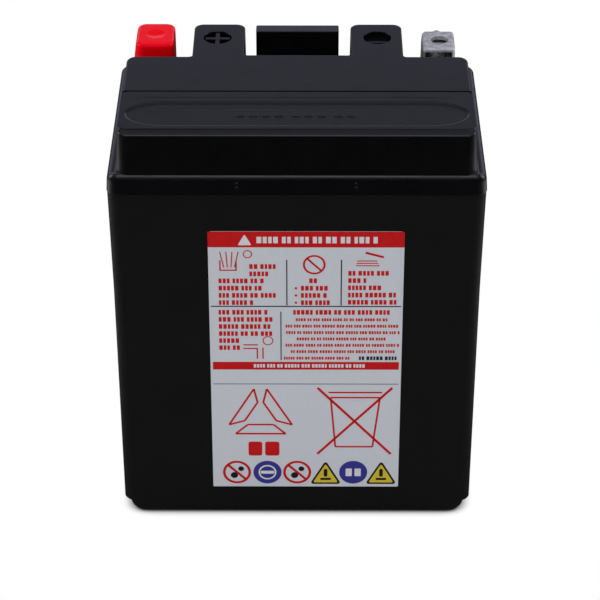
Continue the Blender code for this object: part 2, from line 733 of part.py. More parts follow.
def make_bolt(shop, name, side, steel):
    """A hexagon bolt that lies along Y, its head behind the terminal."""
    x = side * TERMINAL_X
    seat = TERMINAL_REAR + GAP
    hexagon = regular_outline(6, BOLT_ACROSS_FLATS, (x, BOLT_Z), math.pi / 2)
    origin = (x, seat, BOLT_Z)
    bolt = shop.piece(prism_mesh(hexagon, seat, seat + BOLT_HEAD, "Y"), name, steel, origin)
    shank = rod_mesh(BOLT_RADIUS, seat - BOLT_LENGTH, seat + BOLT_HEAD / 2, (x, BOLT_Z), "Y", SMALL_STEPS)
    shop.join(bolt, shank)
    bevel(bolt.modifiers[-1].object, BOLT_CHAMFER, segments=1)
    smooth(bolt)


def make_nut(shop, name, side, steel):
    x = side * TERMINAL_X
    rear = TERMINAL_REAR - TERMINAL_BACK - GAP
    half = NUT_ACROSS_FLATS / 2
    origin = (x, rear, BOLT_Z)
    bm = box_mesh((x - half, rear - NUT, BOLT_Z - half), (x + half, rear, BOLT_Z + half))
    nut = shop.piece(bm, name, steel, origin)
    bevel(nut, NUT_CHAMFER, segments=1)
    shop.cut(nut, rod_mesh(NUT_BORE, rear - NUT - OVERLAP, rear + OVERLAP, (x, BOLT_Z), "Y", SMALL_STEPS))


def make_terminal_cap(shop, vinyl):
    """A soft red cap, open below, with a notch in its back wall for the bolt head and the cable."""
    middle = (CAP_X, (CAP_FRONT + CAP_REAR) / 2)
    half_y = (CAP_REAR - CAP_FRONT) / 2
    rings = [ring(CAP_HALF_X, half_y, CAP_CORNER, CAP_BOTTOM, middle)]
    for inset, rise in reversed(arc_steps(CAP_RADIUS)):
        rings.append(ring(CAP_HALF_X - inset, half_y - inset, CAP_CORNER - inset, CAP_TOP - rise, middle))
    bm = bmesh.new()
    add_loft(bm, rings)
    cap = shop.piece(bm, "terminal_cap", vinyl)
    inner_low = (CAP_X - CAP_HALF_X + CAP_WALL, CAP_FRONT + CAP_WALL)
    inner_high = (CAP_X + CAP_HALF_X - CAP_WALL, CAP_REAR - CAP_WALL)
    inner = rounded_rectangle(inner_low, inner_high, CAP_CORNER - CAP_WALL)
    shop.cut(cap, prism_mesh(inner, CAP_BOTTOM - OVERLAP, CAP_TOP - CAP_ROOF))
    x = -TERMINAL_X
    notch_low = (x - NOTCH_HALF_X, CAP_REAR - 2 * CAP_WALL, CAP_BOTTOM - OVERLAP)
    shop.cut(cap, box_mesh(notch_low, (x + NOTCH_HALF_X, CAP_REAR + OVERLAP, NOTCH_TOP)))
    smooth(cap)


# ---- Label ------------------------------------------------------------------------------------------------------------
def make_label(shop, paper):
    """A thin sheet that leans with the draft of the case's front wall."""
    corners = (LABEL_LEFT, LABEL_BOTTOM), (LABEL_RIGHT, LABEL_TOP)
    bm = prism_mesh(rounded_rectangle(*corners, LABEL_CORNER), 0.0, LABEL, "Y")
    for vert in bm.verts:
        vert.co.y -= case_half_y(vert.co.z) + THIN_GAP + LABEL
    shop.piece(bm, "label", paper)


def main():
    clear_scene()
    shop = Workshop()
    materials = {
        "case_plastic": new_material("case_plastic", (0.010, 0.010, 0.011), 0.38),
        "lid_plastic": new_material("lid_plastic", (0.013, 0.013, 0.016), 0.42),
        "lead": new_material("lead", (0.30, 0.31, 0.33), 0.50, 0.9),
        "lead_dioxide": new_material("lead_dioxide", (0.09, 0.045, 0.030), 0.80),
        "glass_mat": new_material("glass_mat", (0.80, 0.80, 0.78), 0.90),
        "rubber": new_material("rubber", (0.02, 0.02, 0.02), 0.75),
        "plated_steel": new_material("plated_steel", (0.62, 0.60, 0.56), 0.30, 1.0),
        "red_vinyl": new_material("red_vinyl", (0.75, 0.010, 0.015), 0.22),
        "label_paper": new_material("label_paper", (0.62, 0.63, 0.65), 0.45),
    }
    make_case(shop, materials["case_plastic"])
    make_cells(shop, materials)
    make_lid(shop, materials["lid_plastic"])
    make_valve_caps(shop, materials["rubber"])
    make_vent_strip(shop, materials["lid_plastic"])
    for pole, side in (("positive", -1), ("negative", 1)):
        make_terminal(shop, f"{pole}_terminal", side, materials["lead"])
        make_seal(shop, f"{pole}_seal", side, materials["rubber"])
        make_bolt(shop, f"{pole}_bolt", side, materials["plated_steel"])
        make_nut(shop, f"{pole}_nut", side, materials["plated_steel"])
    make_terminal_cap(shop, materials["red_vinyl"])
    make_label(shop, materials["label_paper"])


main()
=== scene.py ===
"""The looks of a sealed motorcycle battery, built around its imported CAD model.

Shapes are worked out in millimetres, in the model's frame: X runs along the cells, Y from the labelled
front to the terminals, Z up from the base. ride_on() turns a finished mesh to metres and ties it to its
CAD body. Pieces that are never seen keep their CAD shape and only get a material.
"""

import json
import math
import random
from contextlib import contextmanager

import bmesh
import bpy
from mathutils import Matrix, Vector, noise

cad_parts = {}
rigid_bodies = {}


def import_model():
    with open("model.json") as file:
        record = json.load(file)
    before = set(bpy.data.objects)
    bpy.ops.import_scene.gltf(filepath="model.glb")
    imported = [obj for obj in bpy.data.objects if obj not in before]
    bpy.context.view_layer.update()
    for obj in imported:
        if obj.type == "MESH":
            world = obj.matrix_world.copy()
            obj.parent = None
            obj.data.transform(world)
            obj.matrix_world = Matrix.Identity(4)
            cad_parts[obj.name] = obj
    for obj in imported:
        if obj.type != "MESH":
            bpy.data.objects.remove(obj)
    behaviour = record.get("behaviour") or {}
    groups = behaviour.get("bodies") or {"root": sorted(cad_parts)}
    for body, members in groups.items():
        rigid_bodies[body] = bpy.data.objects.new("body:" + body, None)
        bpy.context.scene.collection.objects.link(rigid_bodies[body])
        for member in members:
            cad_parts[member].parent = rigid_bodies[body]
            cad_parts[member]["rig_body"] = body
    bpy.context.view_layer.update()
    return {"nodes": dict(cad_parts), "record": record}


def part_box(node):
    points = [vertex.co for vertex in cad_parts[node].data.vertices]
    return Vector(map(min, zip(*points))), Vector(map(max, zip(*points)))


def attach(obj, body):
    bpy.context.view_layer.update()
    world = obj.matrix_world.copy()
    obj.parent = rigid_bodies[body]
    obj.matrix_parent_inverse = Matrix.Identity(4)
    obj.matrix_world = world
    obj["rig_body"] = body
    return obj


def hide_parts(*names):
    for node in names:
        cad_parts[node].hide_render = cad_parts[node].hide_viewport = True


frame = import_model()
MM = 0.001
PAST = 1.0  # how far a cutter reaches past a face
ARC = 8  # facets in a quarter-round corner
ROUND = 64  # sides of a round piece
CUT, JOIN = "DIFFERENCE", "UNION"  # what a tool does to the piece
BIG_FACE = 150.0  # square millimetres, from which a face is shaded truly flat
SLOTS = {part["node"]: part["material_slot"] for part in frame["record"]["subparts"]}


def box_mm(node):
    low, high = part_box(node)
    return low / MM, high / MM


def centre_of(node):
    """The middle of a node's box as seen from above, at height 0."""
    low, high = box_mm(node)
    return (low.x + high.x) / 2, (low.y + high.y) / 2, 0.0


# ---- Sizes read from the frame, and the ones that a box can't give ---------------
CASE_HIGH = box_mm("case")[1]
SEAM_DROP = 1.2
CASE_TOP = CASE_HIGH.z - SEAM_DROP
CASE_HALF_X = CASE_HIGH.x
CASE_HALF_X_LOW = CASE_HALF_X - 1.2
CASE_HALF_X_MID = CASE_HALF_X - 0.7
CASE_HALF_Y = CASE_HIGH.y
CASE_HALF_Y_LOW = CASE_HALF_Y - 0.6
CASE_MID = 100.0
CASE_CORNER = 4.5
FOOT_HALF_X = 64.1
FOOT_HEIGHT = 5.4
FOOT_RADIUS = 4.0
FOOT_CORNER = 5.5
WALL_START = 6.2
CASE_FLOOR = 3.0
CASE_HEEL = 5.0

CELLS = 6
CELLS_HALF_X = 64.0
CELLS_HALF_Y = 41.5
CELL_CORNER = 0.8
PARTITION = 1.5
CELL = (2 * CELLS_HALF_X - (CELLS - 1) * PARTITION) / CELLS
WELD_Y = 32.5
WELD_Z = 135.0
WELD_HOLE = 4.3

LID_LOW, LID_HIGH = box_mm("lid")
LID_TOP = LID_HIGH.z
LEDGE = LID_LOW.z + 5.6
LEDGE_UNDERSIDE = LEDGE - 2.4
LID_WALL = 2.4
SKIRT_CORNER = 4.0
SKIRT_RADIUS = 1.8
SKIRT_LIP = 0.25
PLATEAU_ROOT = LEDGE - 2.1
PLATEAU_HALF_X = 62.8
PLATEAU_FRONT = -44.2
PLATEAU_REAR = 15.7
PLATEAU_REAR_MIDDLE = 17.0
PLATEAU_FRONT_CORNER = 3.0
PLATEAU_REAR_CORNER = 3.5
PLATEAU_FLARE = 1.0
PLATEAU_SLOPE = 1.05  # how much further out the end walls stand at the ledge than at the top
TAB_SLOPE = 0.25
FRONT_EDGE = 1.2
SIDE_EDGE = 0.8
REAR_EDGE = 0.4
CROWN_STEP = 0.77
CROWN_DROPS = (0.298, 0.162, 0.054, 0.0)
FRONT_LEDGE_RISE = 1.3
FRONT_LEDGE_REACH = 0.45
FRONT_LEDGE_START = PLATEAU_FRONT + 3.0
FRONT_LEDGE_RUN = 2.5
SKIRT_LEAN = 0.65
SKIRT_LEAN_HEIGHT = 3.4
NUBS_X = (-21.2, 20.9)
NUB_DROPS = (2.3, 4.0)
INNER_CORNER = 1.5
TAB_REAR = 43.0
TAB_CORNER = 3.5
TABS = ((-38.8, -19.7), (20.0, 39.2))
BAR_HALF_X = 15.6
BAR_FRONT = 36.9
BAR_REAR = 42.8
BAR_RADIUS = 0.35
BAR_TILT = 0.28

MARK_X = 29.9
MARK_Y = 31.6
MARK_RADIUS = 5.3
MARK_DEPTH = 2.2
MARK_LIP = 0.25
MARK_HALF_LENGTH = 4.6
MARK_HALF_WIDTH = 0.75
PLUS_DEPTH = 0.3
MINUS_DEPTH = 1.7

STRIP_LOW, STRIP_HIGH = box_mm("vent_strip")
STRIP_HALF_X = STRIP_HIGH.x
STRIP = 3.0
STRIP_SEAT = STRIP_HIGH.z - STRIP
STRIP_CORNER = 2.5
STRIP_RADIUS = 0.12
STRIP_GAP = 0.3
REAR_GROOVE = 0.8
FRONT_GROOVE = 0.35
HOOK = 1.1
HOOK_FRONT = -38.5
HOOK_REAR = -14.5
RIM = 1.5
RIM_BOTTOM = 159.5
CREASE_Y = -16.9
CREASE_HALF_X = 55.0
STADIUM_HALF_X = 60.7
STADIUM_END = 14.0
STADIUM_FRONT = -37.8
STADIUM_REAR = -20.4
STADIUM_DEPTH = 0.5
DASHES_START = -21.5
DASH = 3.2
DASH_PITCH = 4.5
DASH_GROUP_GAP = 1.6
CHANNEL_FRONT = STRIP_LOW.y + 0.25
CHANNEL_REAR = STRIP_HIGH.y - 0.25
CHANNEL_HALF_X = 60.0
CHANNEL_FLOOR = 155.0
CHANNEL_UNDERSIDE = 152.5

VALVE_Y = -26.4
VALVE_PITCH = 20.2
NIPPLE_RADIUS = 4.3
NIPPLE_BORE = 2.0
NIPPLE_TOP = 160.2
VALVE_INNER_RADIUS = 4.6

TERMINAL_WALL = 1.0
TERMINAL_BACK = 1.8
TERMINAL_ROOF = 1.6
TERMINAL_FLOOR = 2.0
TERMINAL_CORNER = 1.3
TERMINAL_EDGE = 1.25
TERMINAL_HOLE = 3.3
ROOF_TAPER = 0.9
ROOF_TAPER_HEIGHT = 2.0
ROOF_HOLE_SHIFT = 0.6
POST_RADIUS = 4.0
SEAL_GAP = 0.3
CAST_SLICE = 0.7
CAST_ROUGHNESS = 0.07
CAST_GRAIN = 2.4
BOLT_HEAD = 3.8
THREAD_MAJOR = 2.9
THREAD_MINOR = 2.42
NUT_MINOR = 2.98
NUT_THREAD = 0.38
THREAD_PITCH = 1.0

CAP_WALL = 0.95
CAP_ROOF = 1.2
CAP_CORNER = 3.4
CAP_EDGE = 1.3
CAP_SLOPE = 1.1
CAP_HEIGHT = 10.6
CAP_DIMPLE = 3.6
CAP_DIMPLE_DEPTH = 0.5
CAP_SHIFT = 0.5  # how far the soft cap sits off its middle, away from the tabs
NOTCH_HALF_X = 5.4
NOTCH_TOP = 163.3

LABEL_LOW, LABEL_HIGH = box_mm("label")
LABEL_CORNER = 1.5
LABEL_FOOT_CORNER = 0.4
LABEL_SHIFT = (0.3, 0.0, -0.2)
FILM = 0.2
FILM_GAP = 0.05
PRINT = 0.02


def share_of(value):
    """The value, kept between 0 and 1."""
    return min(max(value, 0.0), 1.0)


def steps_between(low, high, spacing):
    count = math.ceil(abs(high - low) / spacing)
    return [low + (high - low) * i / count for i in range(count + 1)]


# ---- Outlines: lists of (x, y) ---------------------------------------------------
def rounded_outline(corners, steps=ARC):
    """Points round a closed outline of corners (x, y, radius), each turned with an arc of its radius."""
    points = []
    for i, (x, y, radius) in enumerate(corners):
        here = Vector((x, y))
        before = (Vector(corners[i - 1][:2]) - here).normalized()
        after = (Vector(corners[(i + 1) % len(corners)][:2]) - here).normalized()
        half = before.angle(after) / 2
        centre = here + (before + after).normalized() * (radius / math.sin(half))
        start = here + before * (radius / math.tan(half)) - centre
        end = here + after * (radius / math.tan(half)) - centre
        first = math.atan2(start.y, start.x)
        sweep = (math.atan2(end.y, end.x) - first + math.pi) % (2 * math.pi) - math.pi
        for step in range(steps + 1):
            angle = first + sweep * step / steps
            points.append((centre.x + radius * math.cos(angle), centre.y + radius * math.sin(angle)))
    return points


def box_corners(low, high, radius):
    left, front, right, rear = low[0], low[1], high[0], high[1]
    return [(x, y, radius) for x, y in ((left, front), (right, front), (right, rear), (left, rear))]


def inset(corners, distance):
    """Corners (x, y, radius) of a right-angled, counter-clockwise outline, moved inwards by the distance."""
    moved = []
    for i, (x, y, radius) in enumerate(corners):
        before, after = corners[i - 1], corners[(i + 1) % len(corners)]
        coming = Vector((x - before[0], y - before[1])).normalized()
        going = Vector((after[0] - x, after[1] - y)).normalized()
        turn = coming.x * going.y - coming.y * going.x
        inwards_x = -coming.y - going.y
        inwards_y = coming.x + going.x
        new_radius = max(radius - math.copysign(distance, turn), 0.02)
        moved.append((x + inwards_x * distance, y + inwards_y * distance, new_radius))
    return moved


def inset_outline(corners, distance, steps=ARC):
    return rounded_outline(inset(corners, distance), steps)


def circle(centre, radius, sides):
    angles = [2 * math.pi * i / sides for i in range(sides)]
    return [(centre[0] + radius * math.cos(a), centre[1] + radius * math.sin(a)) for a in angles]


def quarter(radius, count=6):
    """(inset, drop) pairs round a convex quarter arc, from its upright end to its flat end."""
    angles = [math.pi / 2 * i / count for i in range(count + 1)]
    return [(radius * (1 - math.cos(a)), radius * (1 - math.sin(a))) for a in angles]


def stadium_outline(grow=0.0):
    """A long outline with half-ellipse ends."""
    middle = (STADIUM_FRONT + STADIUM_REAR) / 2
    half_y = (STADIUM_REAR - STADIUM_FRONT) / 2 + grow
    end = STADIUM_END + grow
    points = []
    for side in (1, -1):
        for step in range(4 * ARC + 1):
            angle = -math.pi / 2 + math.pi * step / (4 * ARC)
            x = STADIUM_HALF_X - STADIUM_END + end * math.cos(angle)
            points.append((side * x, middle + side * half_y * math.sin(angle)))
    return points


def polygon_radius(angle, sides, across_flats, rounding):
    """Distance from the centre to a regular polygon's side at an angle, with the corners cut off."""
    part = 2 * math.pi / sides
    off_middle = (angle + part / 2) % part - part / 2
    reach = across_flats / 2 / math.cos(off_middle)
    return min(reach, across_flats / 2 / math.cos(part / 2) - rounding)


# ---- Solids: each returns or adds to a bmesh, in millimetres ---------------------
def add_loft(bm, rings, torus=False):
    """A closed solid through rings of as many points each. A torus joins its last ring to its first."""
    loops = [[bm.verts.new(point) for point in ring] for ring in rings]
    pairs = list(zip(loops, loops[1:]))
    if torus:
        pairs.append((loops[-1], loops[0]))
    for lower, upper in pairs:
        for i in range(len(lower)):
            bm.faces.new((lower[i - 1], lower[i], upper[i], upper[i - 1]))
    if not torus:
        bm.faces.new(reversed(loops[0]))
        bm.faces.new(loops[-1])
    bmesh.ops.recalc_face_normals(bm, faces=bm.faces)
    return bm


def stack(levels):
    """A solid through outlines at heights, given as (z, outline) from the bottom up."""
    return add_loft(bmesh.new(), [[(x, y, z) for x, y in outline] for z, outline in levels])


def boxes(ranges):
    bm = bmesh.new()
    for low, high in ranges:
        low, high = Vector(low), Vector(high)
        size = Matrix.Diagonal((*(high - low), 1.0))
        bmesh.ops.create_cube(bm, size=1.0, matrix=Matrix.Translation((low + high) / 2) @ size)
    return bm


def edge_levels(corners, face, radius, up, steps):
    """Levels round a rounded top edge (up is 1) or bottom edge (up is -1), from the lowest to the highest."""
    pairs = quarter(radius, steps)
    return [(face - up * drop, inset_outline(corners, step_in)) for step_in, drop in pairs[::up]]


def rounded_block(low, high, corner, top_edge, bottom_edge=0.1, steps=6):
    """An upright block with rounded corners and rounded top and bottom edges."""
    corners = box_corners(low, high, corner)
    bottom = edge_levels(corners, low[2], bottom_edge, -1, steps)
    return stack(bottom + edge_levels(corners, high[2], top_edge, 1, steps))


def turned(rows, centre=(0.0, 0.0, 0.0), axis="Z", sides=ROUND, torus=False):
    """A solid turned about an axis. Rows are (radius, height), or (function of angle and height, height)."""
    tilt = {"Z": Matrix.Identity(4), "Y": Matrix.Rotation(-math.pi / 2, 4, "X")}[axis]
    matrix = Matrix.Translation(centre) @ tilt
    rings = []
    for radius, height in rows:
        ring = []
        for i in range(sides):
            angle = 2 * math.pi * i / sides
            reach = radius(angle, height) if callable(radius) else radius
            ring.append(matrix @ Vector((reach * math.cos(angle), reach * math.sin(angle), height)))
        rings.append(ring)
    return add_loft(bmesh.new(), rings, torus)


def lipped_hole(radius, lip, low, high):
    """Rows for a cutter that opens out at its top in a rounded lip, which meets the face at height high."""
    lip_rows = [(radius + step_in, high - drop) for step_in, drop in quarter(lip)]
    return [(radius, low)] + lip_rows + [(radius + lip, high + PAST)]


def turn_to(bm, place, axis):
    """Turns a solid's Z a quarter turn about the axis and moves it to the place."""
    matrix = Matrix.Translation(place) @ Matrix.Rotation(math.pi / 2, 4, axis)
    bmesh.ops.transform(bm, matrix=matrix, verts=bm.verts)
    return bm


def merged(*parts):
    """One bmesh that holds solids that don't touch each other."""
    whole = bmesh.new()
    for part in parts:
        mesh = bpy.data.meshes.new("part")
        part.to_mesh(mesh)
        part.free()
        whole.from_mesh(mesh)
        bpy.data.meshes.remove(mesh)
    return whole


# ---- Pieces ----------------------------------------------------------------------
def new_object(bm, name):
    mesh = bpy.data.meshes.new(name)
    bm.to_mesh(mesh)
    bm.free()
    obj = bpy.data.objects.new(name, mesh)
    bpy.context.scene.collection.objects.link(obj)
    return obj


def apply_modifiers(piece):
    bpy.context.view_layer.update()
    evaluated = piece.evaluated_get(bpy.context.evaluated_depsgraph_get())
    mesh = bpy.data.meshes.new_from_object(evaluated)
    piece.modifiers.clear()
    piece.data = mesh


def carve(name, bm, steps):
    """A named object from a solid and the solids that are joined to it or cut from it, in order."""
    piece = new_object(bm, name)
    tools = []
    for operation, tool_bm in steps:
        tool = new_object(tool_bm, "tool")
        modifier = piece.modifiers.new(operation, "BOOLEAN")
        modifier.operation = operation
        modifier.object = tool
        tools.append(tool)
    apply_modifiers(piece)
    for tool in tools:
        bpy.data.objects.remove(tool)
    return piece


@contextmanager
def opened(piece):
    """The piece's mesh as a bmesh, which is put back at the end."""
    bm = bmesh.new()
    bm.from_mesh(piece.data)
    yield bm
    bm.to_mesh(piece.data)
    bm.free()


def clean(piece):
    """Joins points that a Boolean left on top of each other."""
    with opened(piece) as bm:
        bmesh.ops.remove_doubles(bm, verts=bm.verts, dist=0.002)
        bmesh.ops.dissolve_degenerate(bm, edges=bm.edges, dist=0.001)


def slice_up(piece, spacing):
    """Cuts faces about as wide as the spacing, so that the surface can be moved point by point."""
    with opened(piece) as bm:
        for normal in Matrix.Identity(3):
            heights = [v.co.dot(normal) for v in bm.verts]
            low, high = min(heights), max(heights)
            count = int((high - low) / spacing)
            for i in range(1, count):
                place = normal * (low + (high - low) * i / count)
                geometry = bm.verts[:] + bm.edges[:] + bm.faces[:]
                bmesh.ops.bisect_plane(bm, geom=geometry, plane_co=place, plane_no=normal, dist=0.01)


def roughen(piece, height, size, seed):
    """Moves each point along its normal by smooth noise, as a casting's skin is uneven."""
    shift = Vector((seed * 17.0, seed * 5.0, seed * 11.0))
    normals = [v.normal.copy() for v in piece.data.vertices]
    for vertex, normal in zip(piece.data.vertices, normals):
        amount = noise.noise(vertex.co / size + shift) + 0.5 * noise.noise(vertex.co * 2.3 / size + shift)
        vertex.co += normal * amount * height


def shade(piece, sharp):
    """Smooth shading that keeps edges over the angle sharp and big flat faces truly flat."""
    piece.data.shade_smooth()
    piece.data.set_sharp_from_angle(angle=math.radians(sharp))
    weighted = piece.modifiers.new("weighted_normals", "WEIGHTED_NORMAL")
    weighted.keep_sharp = True
    weighted.weight = 60
    apply_modifiers(piece)
    normals = [corner.vector.copy() for corner in piece.data.corner_normals]
    for face in piece.data.polygons:
        if face.area > BIG_FACE * MM * MM:
            for corner in face.loop_indices:
                normals[corner] = face.normal.copy()
    piece.data.normals_split_custom_set(normals)


def ride_on(piece, body, material, sharp=32.0):
    """Scales a piece from millimetres, shades and paints it, and ties it to its CAD body."""
    piece.data.transform(Matrix.Diagonal((MM, MM, MM, 1.0)))
    piece.data.materials.clear()
    piece.data.materials.append(material)
    shade(piece, sharp)
    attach(piece, body)


def replace(piece, node, sharp=32.0):
    """Puts a piece in the place of the CAD node that it was drawn from."""
    slot = SLOTS[node]
    ride_on(piece, frame["nodes"][node]["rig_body"], MATERIALS[slot], sharp)
    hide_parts(node)


# ---- Material nodes --------------------------------------------------------------
def fill(tree, socket, value):
    """Gives an input a number, a colour, or another node's output to link."""
    if isinstance(value, bpy.types.NodeSocket):
        tree.links.new(value, socket)
    else:
        socket.default_value = value


def add_node(tree, kind, inputs=None, **settings):
    node = tree.nodes.new("ShaderNode" + kind)
    for key, value in settings.items():
        setattr(node, key, value)
    for key, value in (inputs or {}).items():
        fill(tree, node.inputs[key], value)
    return node


def between(tree, value, low, high, out_low=0.0, out_high=1.0):
    inputs = {"Value": value, "From Min": low, "From Max": high, "To Min": out_low, "To Max": out_high}
    return add_node(tree, "MapRange", inputs).outputs["Result"]


def blend_colours(tree, share, first, second):
    return add_node(tree, "Mix", {0: share, 6: first, 7: second}, data_type="RGBA").outputs[2]


def grey(value, blue=1.0):
    return (value, value, value * blue, 1.0)


class Paint:
    """A Principled material in the making, with its patterns in the piece's own coordinates."""

    def __init__(self, name):
        self.material = bpy.data.materials.new(name)
        self.material.use_nodes = True
        self.tree = self.material.node_tree
        self.place = add_node(self.tree, "TexCoord").outputs["Object"]

    def noise(self, size_mm, detail=3.0, roughness=0.5, stretch=(1.0, 1.0, 1.0)):
        """Noise whose blobs are about size_mm across."""
        spread = add_node(self.tree, "Mapping", {"Vector": self.place, "Scale": stretch}).outputs[0]
        inputs = {"Vector": spread, "Scale": 1.0 / (size_mm * MM), "Detail": detail, "Roughness": roughness}
        return add_node(self.tree, "TexNoise", inputs).outputs["Fac"]

    def between(self, value, low, high, out_low=0.0, out_high=1.0):
        return between(self.tree, value, low, high, out_low, out_high)

    def blend(self, share, first, second):
        return blend_colours(self.tree, share, first, second)

    def bump(self, height, depth_mm, below=None):
        inputs = {"Height": height, "Distance": depth_mm * MM, "Strength": 1.0}
        if below is not None:
            inputs["Normal"] = below
        return add_node(self.tree, "Bump", inputs).outputs["Normal"]

    def finish(self, colour, pattern, smoothest, roughest, normal, **inputs):
        """The material, whose roughness goes with a pattern from its smoothest to its roughest."""
        roughness = self.between(pattern, 0.3, 0.7, smoothest, roughest)
        inputs.update(Base_Color=colour, Roughness=roughness, Normal=normal)
        for key, value in inputs.items():
            fill(self.tree, self.tree.nodes["Principled BSDF"].inputs[key.replace("_", " ")], value)
        return self.material


# ---- Materials -------------------------------------------------------------------
def case_plastic():
    """Black polypropylene with a fine moulded grain and slow variation where it shrank."""
    paint = Paint("case_plastic")
    colour = paint.blend(paint.noise(22.0, 2.0), grey(0.0072, 1.02), grey(0.0090, 1.04))
    soft = paint.bump(paint.noise(30.0, 1.0), 0.16)
    skin = paint.bump(paint.noise(0.45, 2.0, 0.6), 0.012, soft)
    return paint.finish(colour, paint.noise(9.0), 0.50, 0.60, skin, IOR=1.45, Specular_IOR_Level=0.10)


def lid_plastic():
    """The same black polypropylene from a smoother mould, with faint flow marks."""
    paint = Paint("lid_plastic")
    colour = paint.blend(paint.noise(16.0), grey(0.0017, 1.3), grey(0.0025, 1.3))
    flow = paint.bump(paint.noise(26.0, 2.0, 0.5, (0.35, 1.0, 1.0)), 0.04)
    skin = paint.bump(paint.noise(0.35, 2.0, 0.6), 0.004, flow)
    return paint.finish(colour, paint.noise(7.0), 0.26, 0.36, skin, IOR=1.49)


def red_vinyl():
    """Soft dip-moulded vinyl: glossy, a little translucent, with a slightly uneven skin."""
    paint = Paint("red_vinyl")
    colour = paint.blend(paint.noise(5.0), (0.84, 0.0002, 0.004, 1.0), (0.95, 0.0005, 0.007, 1.0))
    skin = paint.bump(paint.noise(3.2, 2.0), 0.07)
    glow = {"Subsurface_Weight": 0.12, "Subsurface_Radius": (1.0, 0.12, 0.08), "Subsurface_Scale": 0.0012}
    shine = {"IOR": 1.38, "Specular_Tint": (1.0, 0.08, 0.38, 1.0)}
    return paint.finish(colour, paint.noise(1.6), 0.16, 0.26, skin, **glow, **shine)


def cast_lead():
    """Dull cast lead: swirls and pits from the mould, and a painted highlight that makes its sharp convex
    edges lighter.
    """
    paint = Paint("lead")
    swirl = paint.noise(2.6, 5.0, 0.62, (1.0, 2.2, 1.0))
    fine = paint.noise(0.7, 4.0, 0.6)
    edge = add_node(paint.tree, "NewGeometry").outputs["Pointiness"]
    colour = paint.blend(paint.between(swirl, 0.35, 0.66), grey(0.26, 1.06), grey(0.56, 1.05))
    # Painted highlight: the colour turns pale grey along sharp convex edges, found by pointiness.
    colour = paint.blend(paint.between(edge, 0.505, 0.56), colour, grey(0.72, 1.05))
    skin = paint.bump(fine, 0.05, paint.bump(swirl, 0.28))
    return paint.finish(colour, fine, 0.30, 0.50, skin, Metallic=0.35)


def plate_material(name, first, second, metallic):
    """A pasted plate: a pressed grid pattern under a porous paste."""
    paint = Paint(name)
    pores = paint.noise(0.5, 4.0, 0.65)
    colour = paint.blend(paint.between(paint.noise(8.0), 0.35, 0.65), first, second)
    cells = {"Vector": paint.place, "Scale": 1.0 / (6.0 * MM)}
    grid = add_node(paint.tree, "TexVoronoi", cells, feature="DISTANCE_TO_EDGE").outputs["Distance"]
    pressed = paint.bump(paint.between(grid, 0.0, 0.12, 1.0, 0.0), 0.15)
    return paint.finish(colour, pores, 0.62, 0.85, paint.bump(pores, 0.08, pressed), Metallic=metallic)


def plated_steel():
    """Bright nickel with fine turning marks and a few dull patches."""
    paint = Paint("plated_steel")
    marks = paint.noise(0.5, 3.0, 0.6, (1.0, 6.0, 1.0))
    colour = paint.blend(paint.noise(3.0), (0.62, 0.60, 0.56, 1.0), (0.78, 0.76, 0.71, 1.0))
    return paint.finish(colour, marks, 0.18, 0.34, paint.bump(marks, 0.01), Metallic=1.0)


def rubber():
    """Black synthetic rubber with a dusty bloom."""
    paint = Paint("rubber")
    bloom = paint.noise(2.5, 4.0, 0.6)
    colour = paint.blend(paint.between(bloom, 0.4, 0.75), grey(0.012), grey(0.035))
    return paint.finish(colour, bloom, 0.60, 0.80, paint.bump(paint.noise(0.25, 2.0), 0.02))


def glass_mat():
    """White absorbent glass-fibre mat."""
    paint = Paint("glass_mat")
    fibres = paint.noise(0.35, 5.0, 0.7, (1.0, 1.0, 0.25))
    colour = paint.blend(paint.noise(7.0, 2.0), (0.74, 0.74, 0.70, 1.0), (0.86, 0.86, 0.83, 1.0))
    return paint.finish(colour, fibres, 0.85, 0.98, paint.bump(fibres, 0.12), Sheen_Weight=0.3)


def recess_painted_shade():
    """Painted shade: matt black, darker than the lid and with almost no sheen, inside the two round recesses.
    """
    paint = Paint("recess_painted_shade")
    grain = paint.noise(0.5, 3.0, 0.6)
    colour = paint.blend(grain, grey(0.0008), grey(0.0020))
    return paint.finish(colour, grain, 0.80, 0.95, paint.bump(grain, 0.02), Specular_IOR_Level=0.06)


def printed(name, first, second, specular=0.3):
    """Printed film: even colour with the slight mottle of ink, under a satin surface."""
    paint = Paint(name)
    colour = paint.blend(paint.between(paint.noise(1.1, 4.0, 0.6), 0.3, 0.7), first, second)
    wave = paint.bump(paint.noise(18.0, 2.0), 0.10)
    return paint.finish(colour, paint.noise(6.0), 0.37, 0.47, wave, IOR=1.45, Specular_IOR_Level=specular)


MATERIALS = {
    "case_plastic": case_plastic(),
    "lid_plastic": lid_plastic(),
    "red_vinyl": red_vinyl(),
    "lead": cast_lead(),
    "grey_lead": plate_material("grey_lead", grey(0.17, 1.03), grey(0.30, 1.03), 0.6),
    "lead_dioxide": plate_material("lead_dioxide", (0.06, 0.03, 0.02, 1.0), (0.115, 0.06, 0.04, 1.0), 0.0),
    "plated_steel": plated_steel(),
    "rubber": rubber(),
    "glass_mat": glass_mat(),
    # Painted shade: a darker matt black with almost no sheen, laid in the lid's round recesses.
    "recess": recess_painted_shade(),
    "label_film": printed("label_film", (0.620, 0.645, 0.680, 1.0), (0.650, 0.675, 0.710, 1.0)),
    "red": printed("red_ink", (0.55, 0.005, 0.006, 1.0), (0.62, 0.008, 0.009, 1.0), 0.12),
    "black": printed("black_ink", grey(0.010, 1.3), grey(0.016, 1.3)),
    "blue": printed("blue_ink", (0.030, 0.028, 0.25, 1.0), (0.040, 0.036, 0.31, 1.0)),
    "yellow": printed("yellow_ink", (0.66, 0.50, 0.02, 1.0), (0.72, 0.56, 0.03, 1.0)),
    "white": printed("white_ink", (0.70, 0.70, 0.72, 1.0), (0.74, 0.74, 0.76, 1.0)),
}


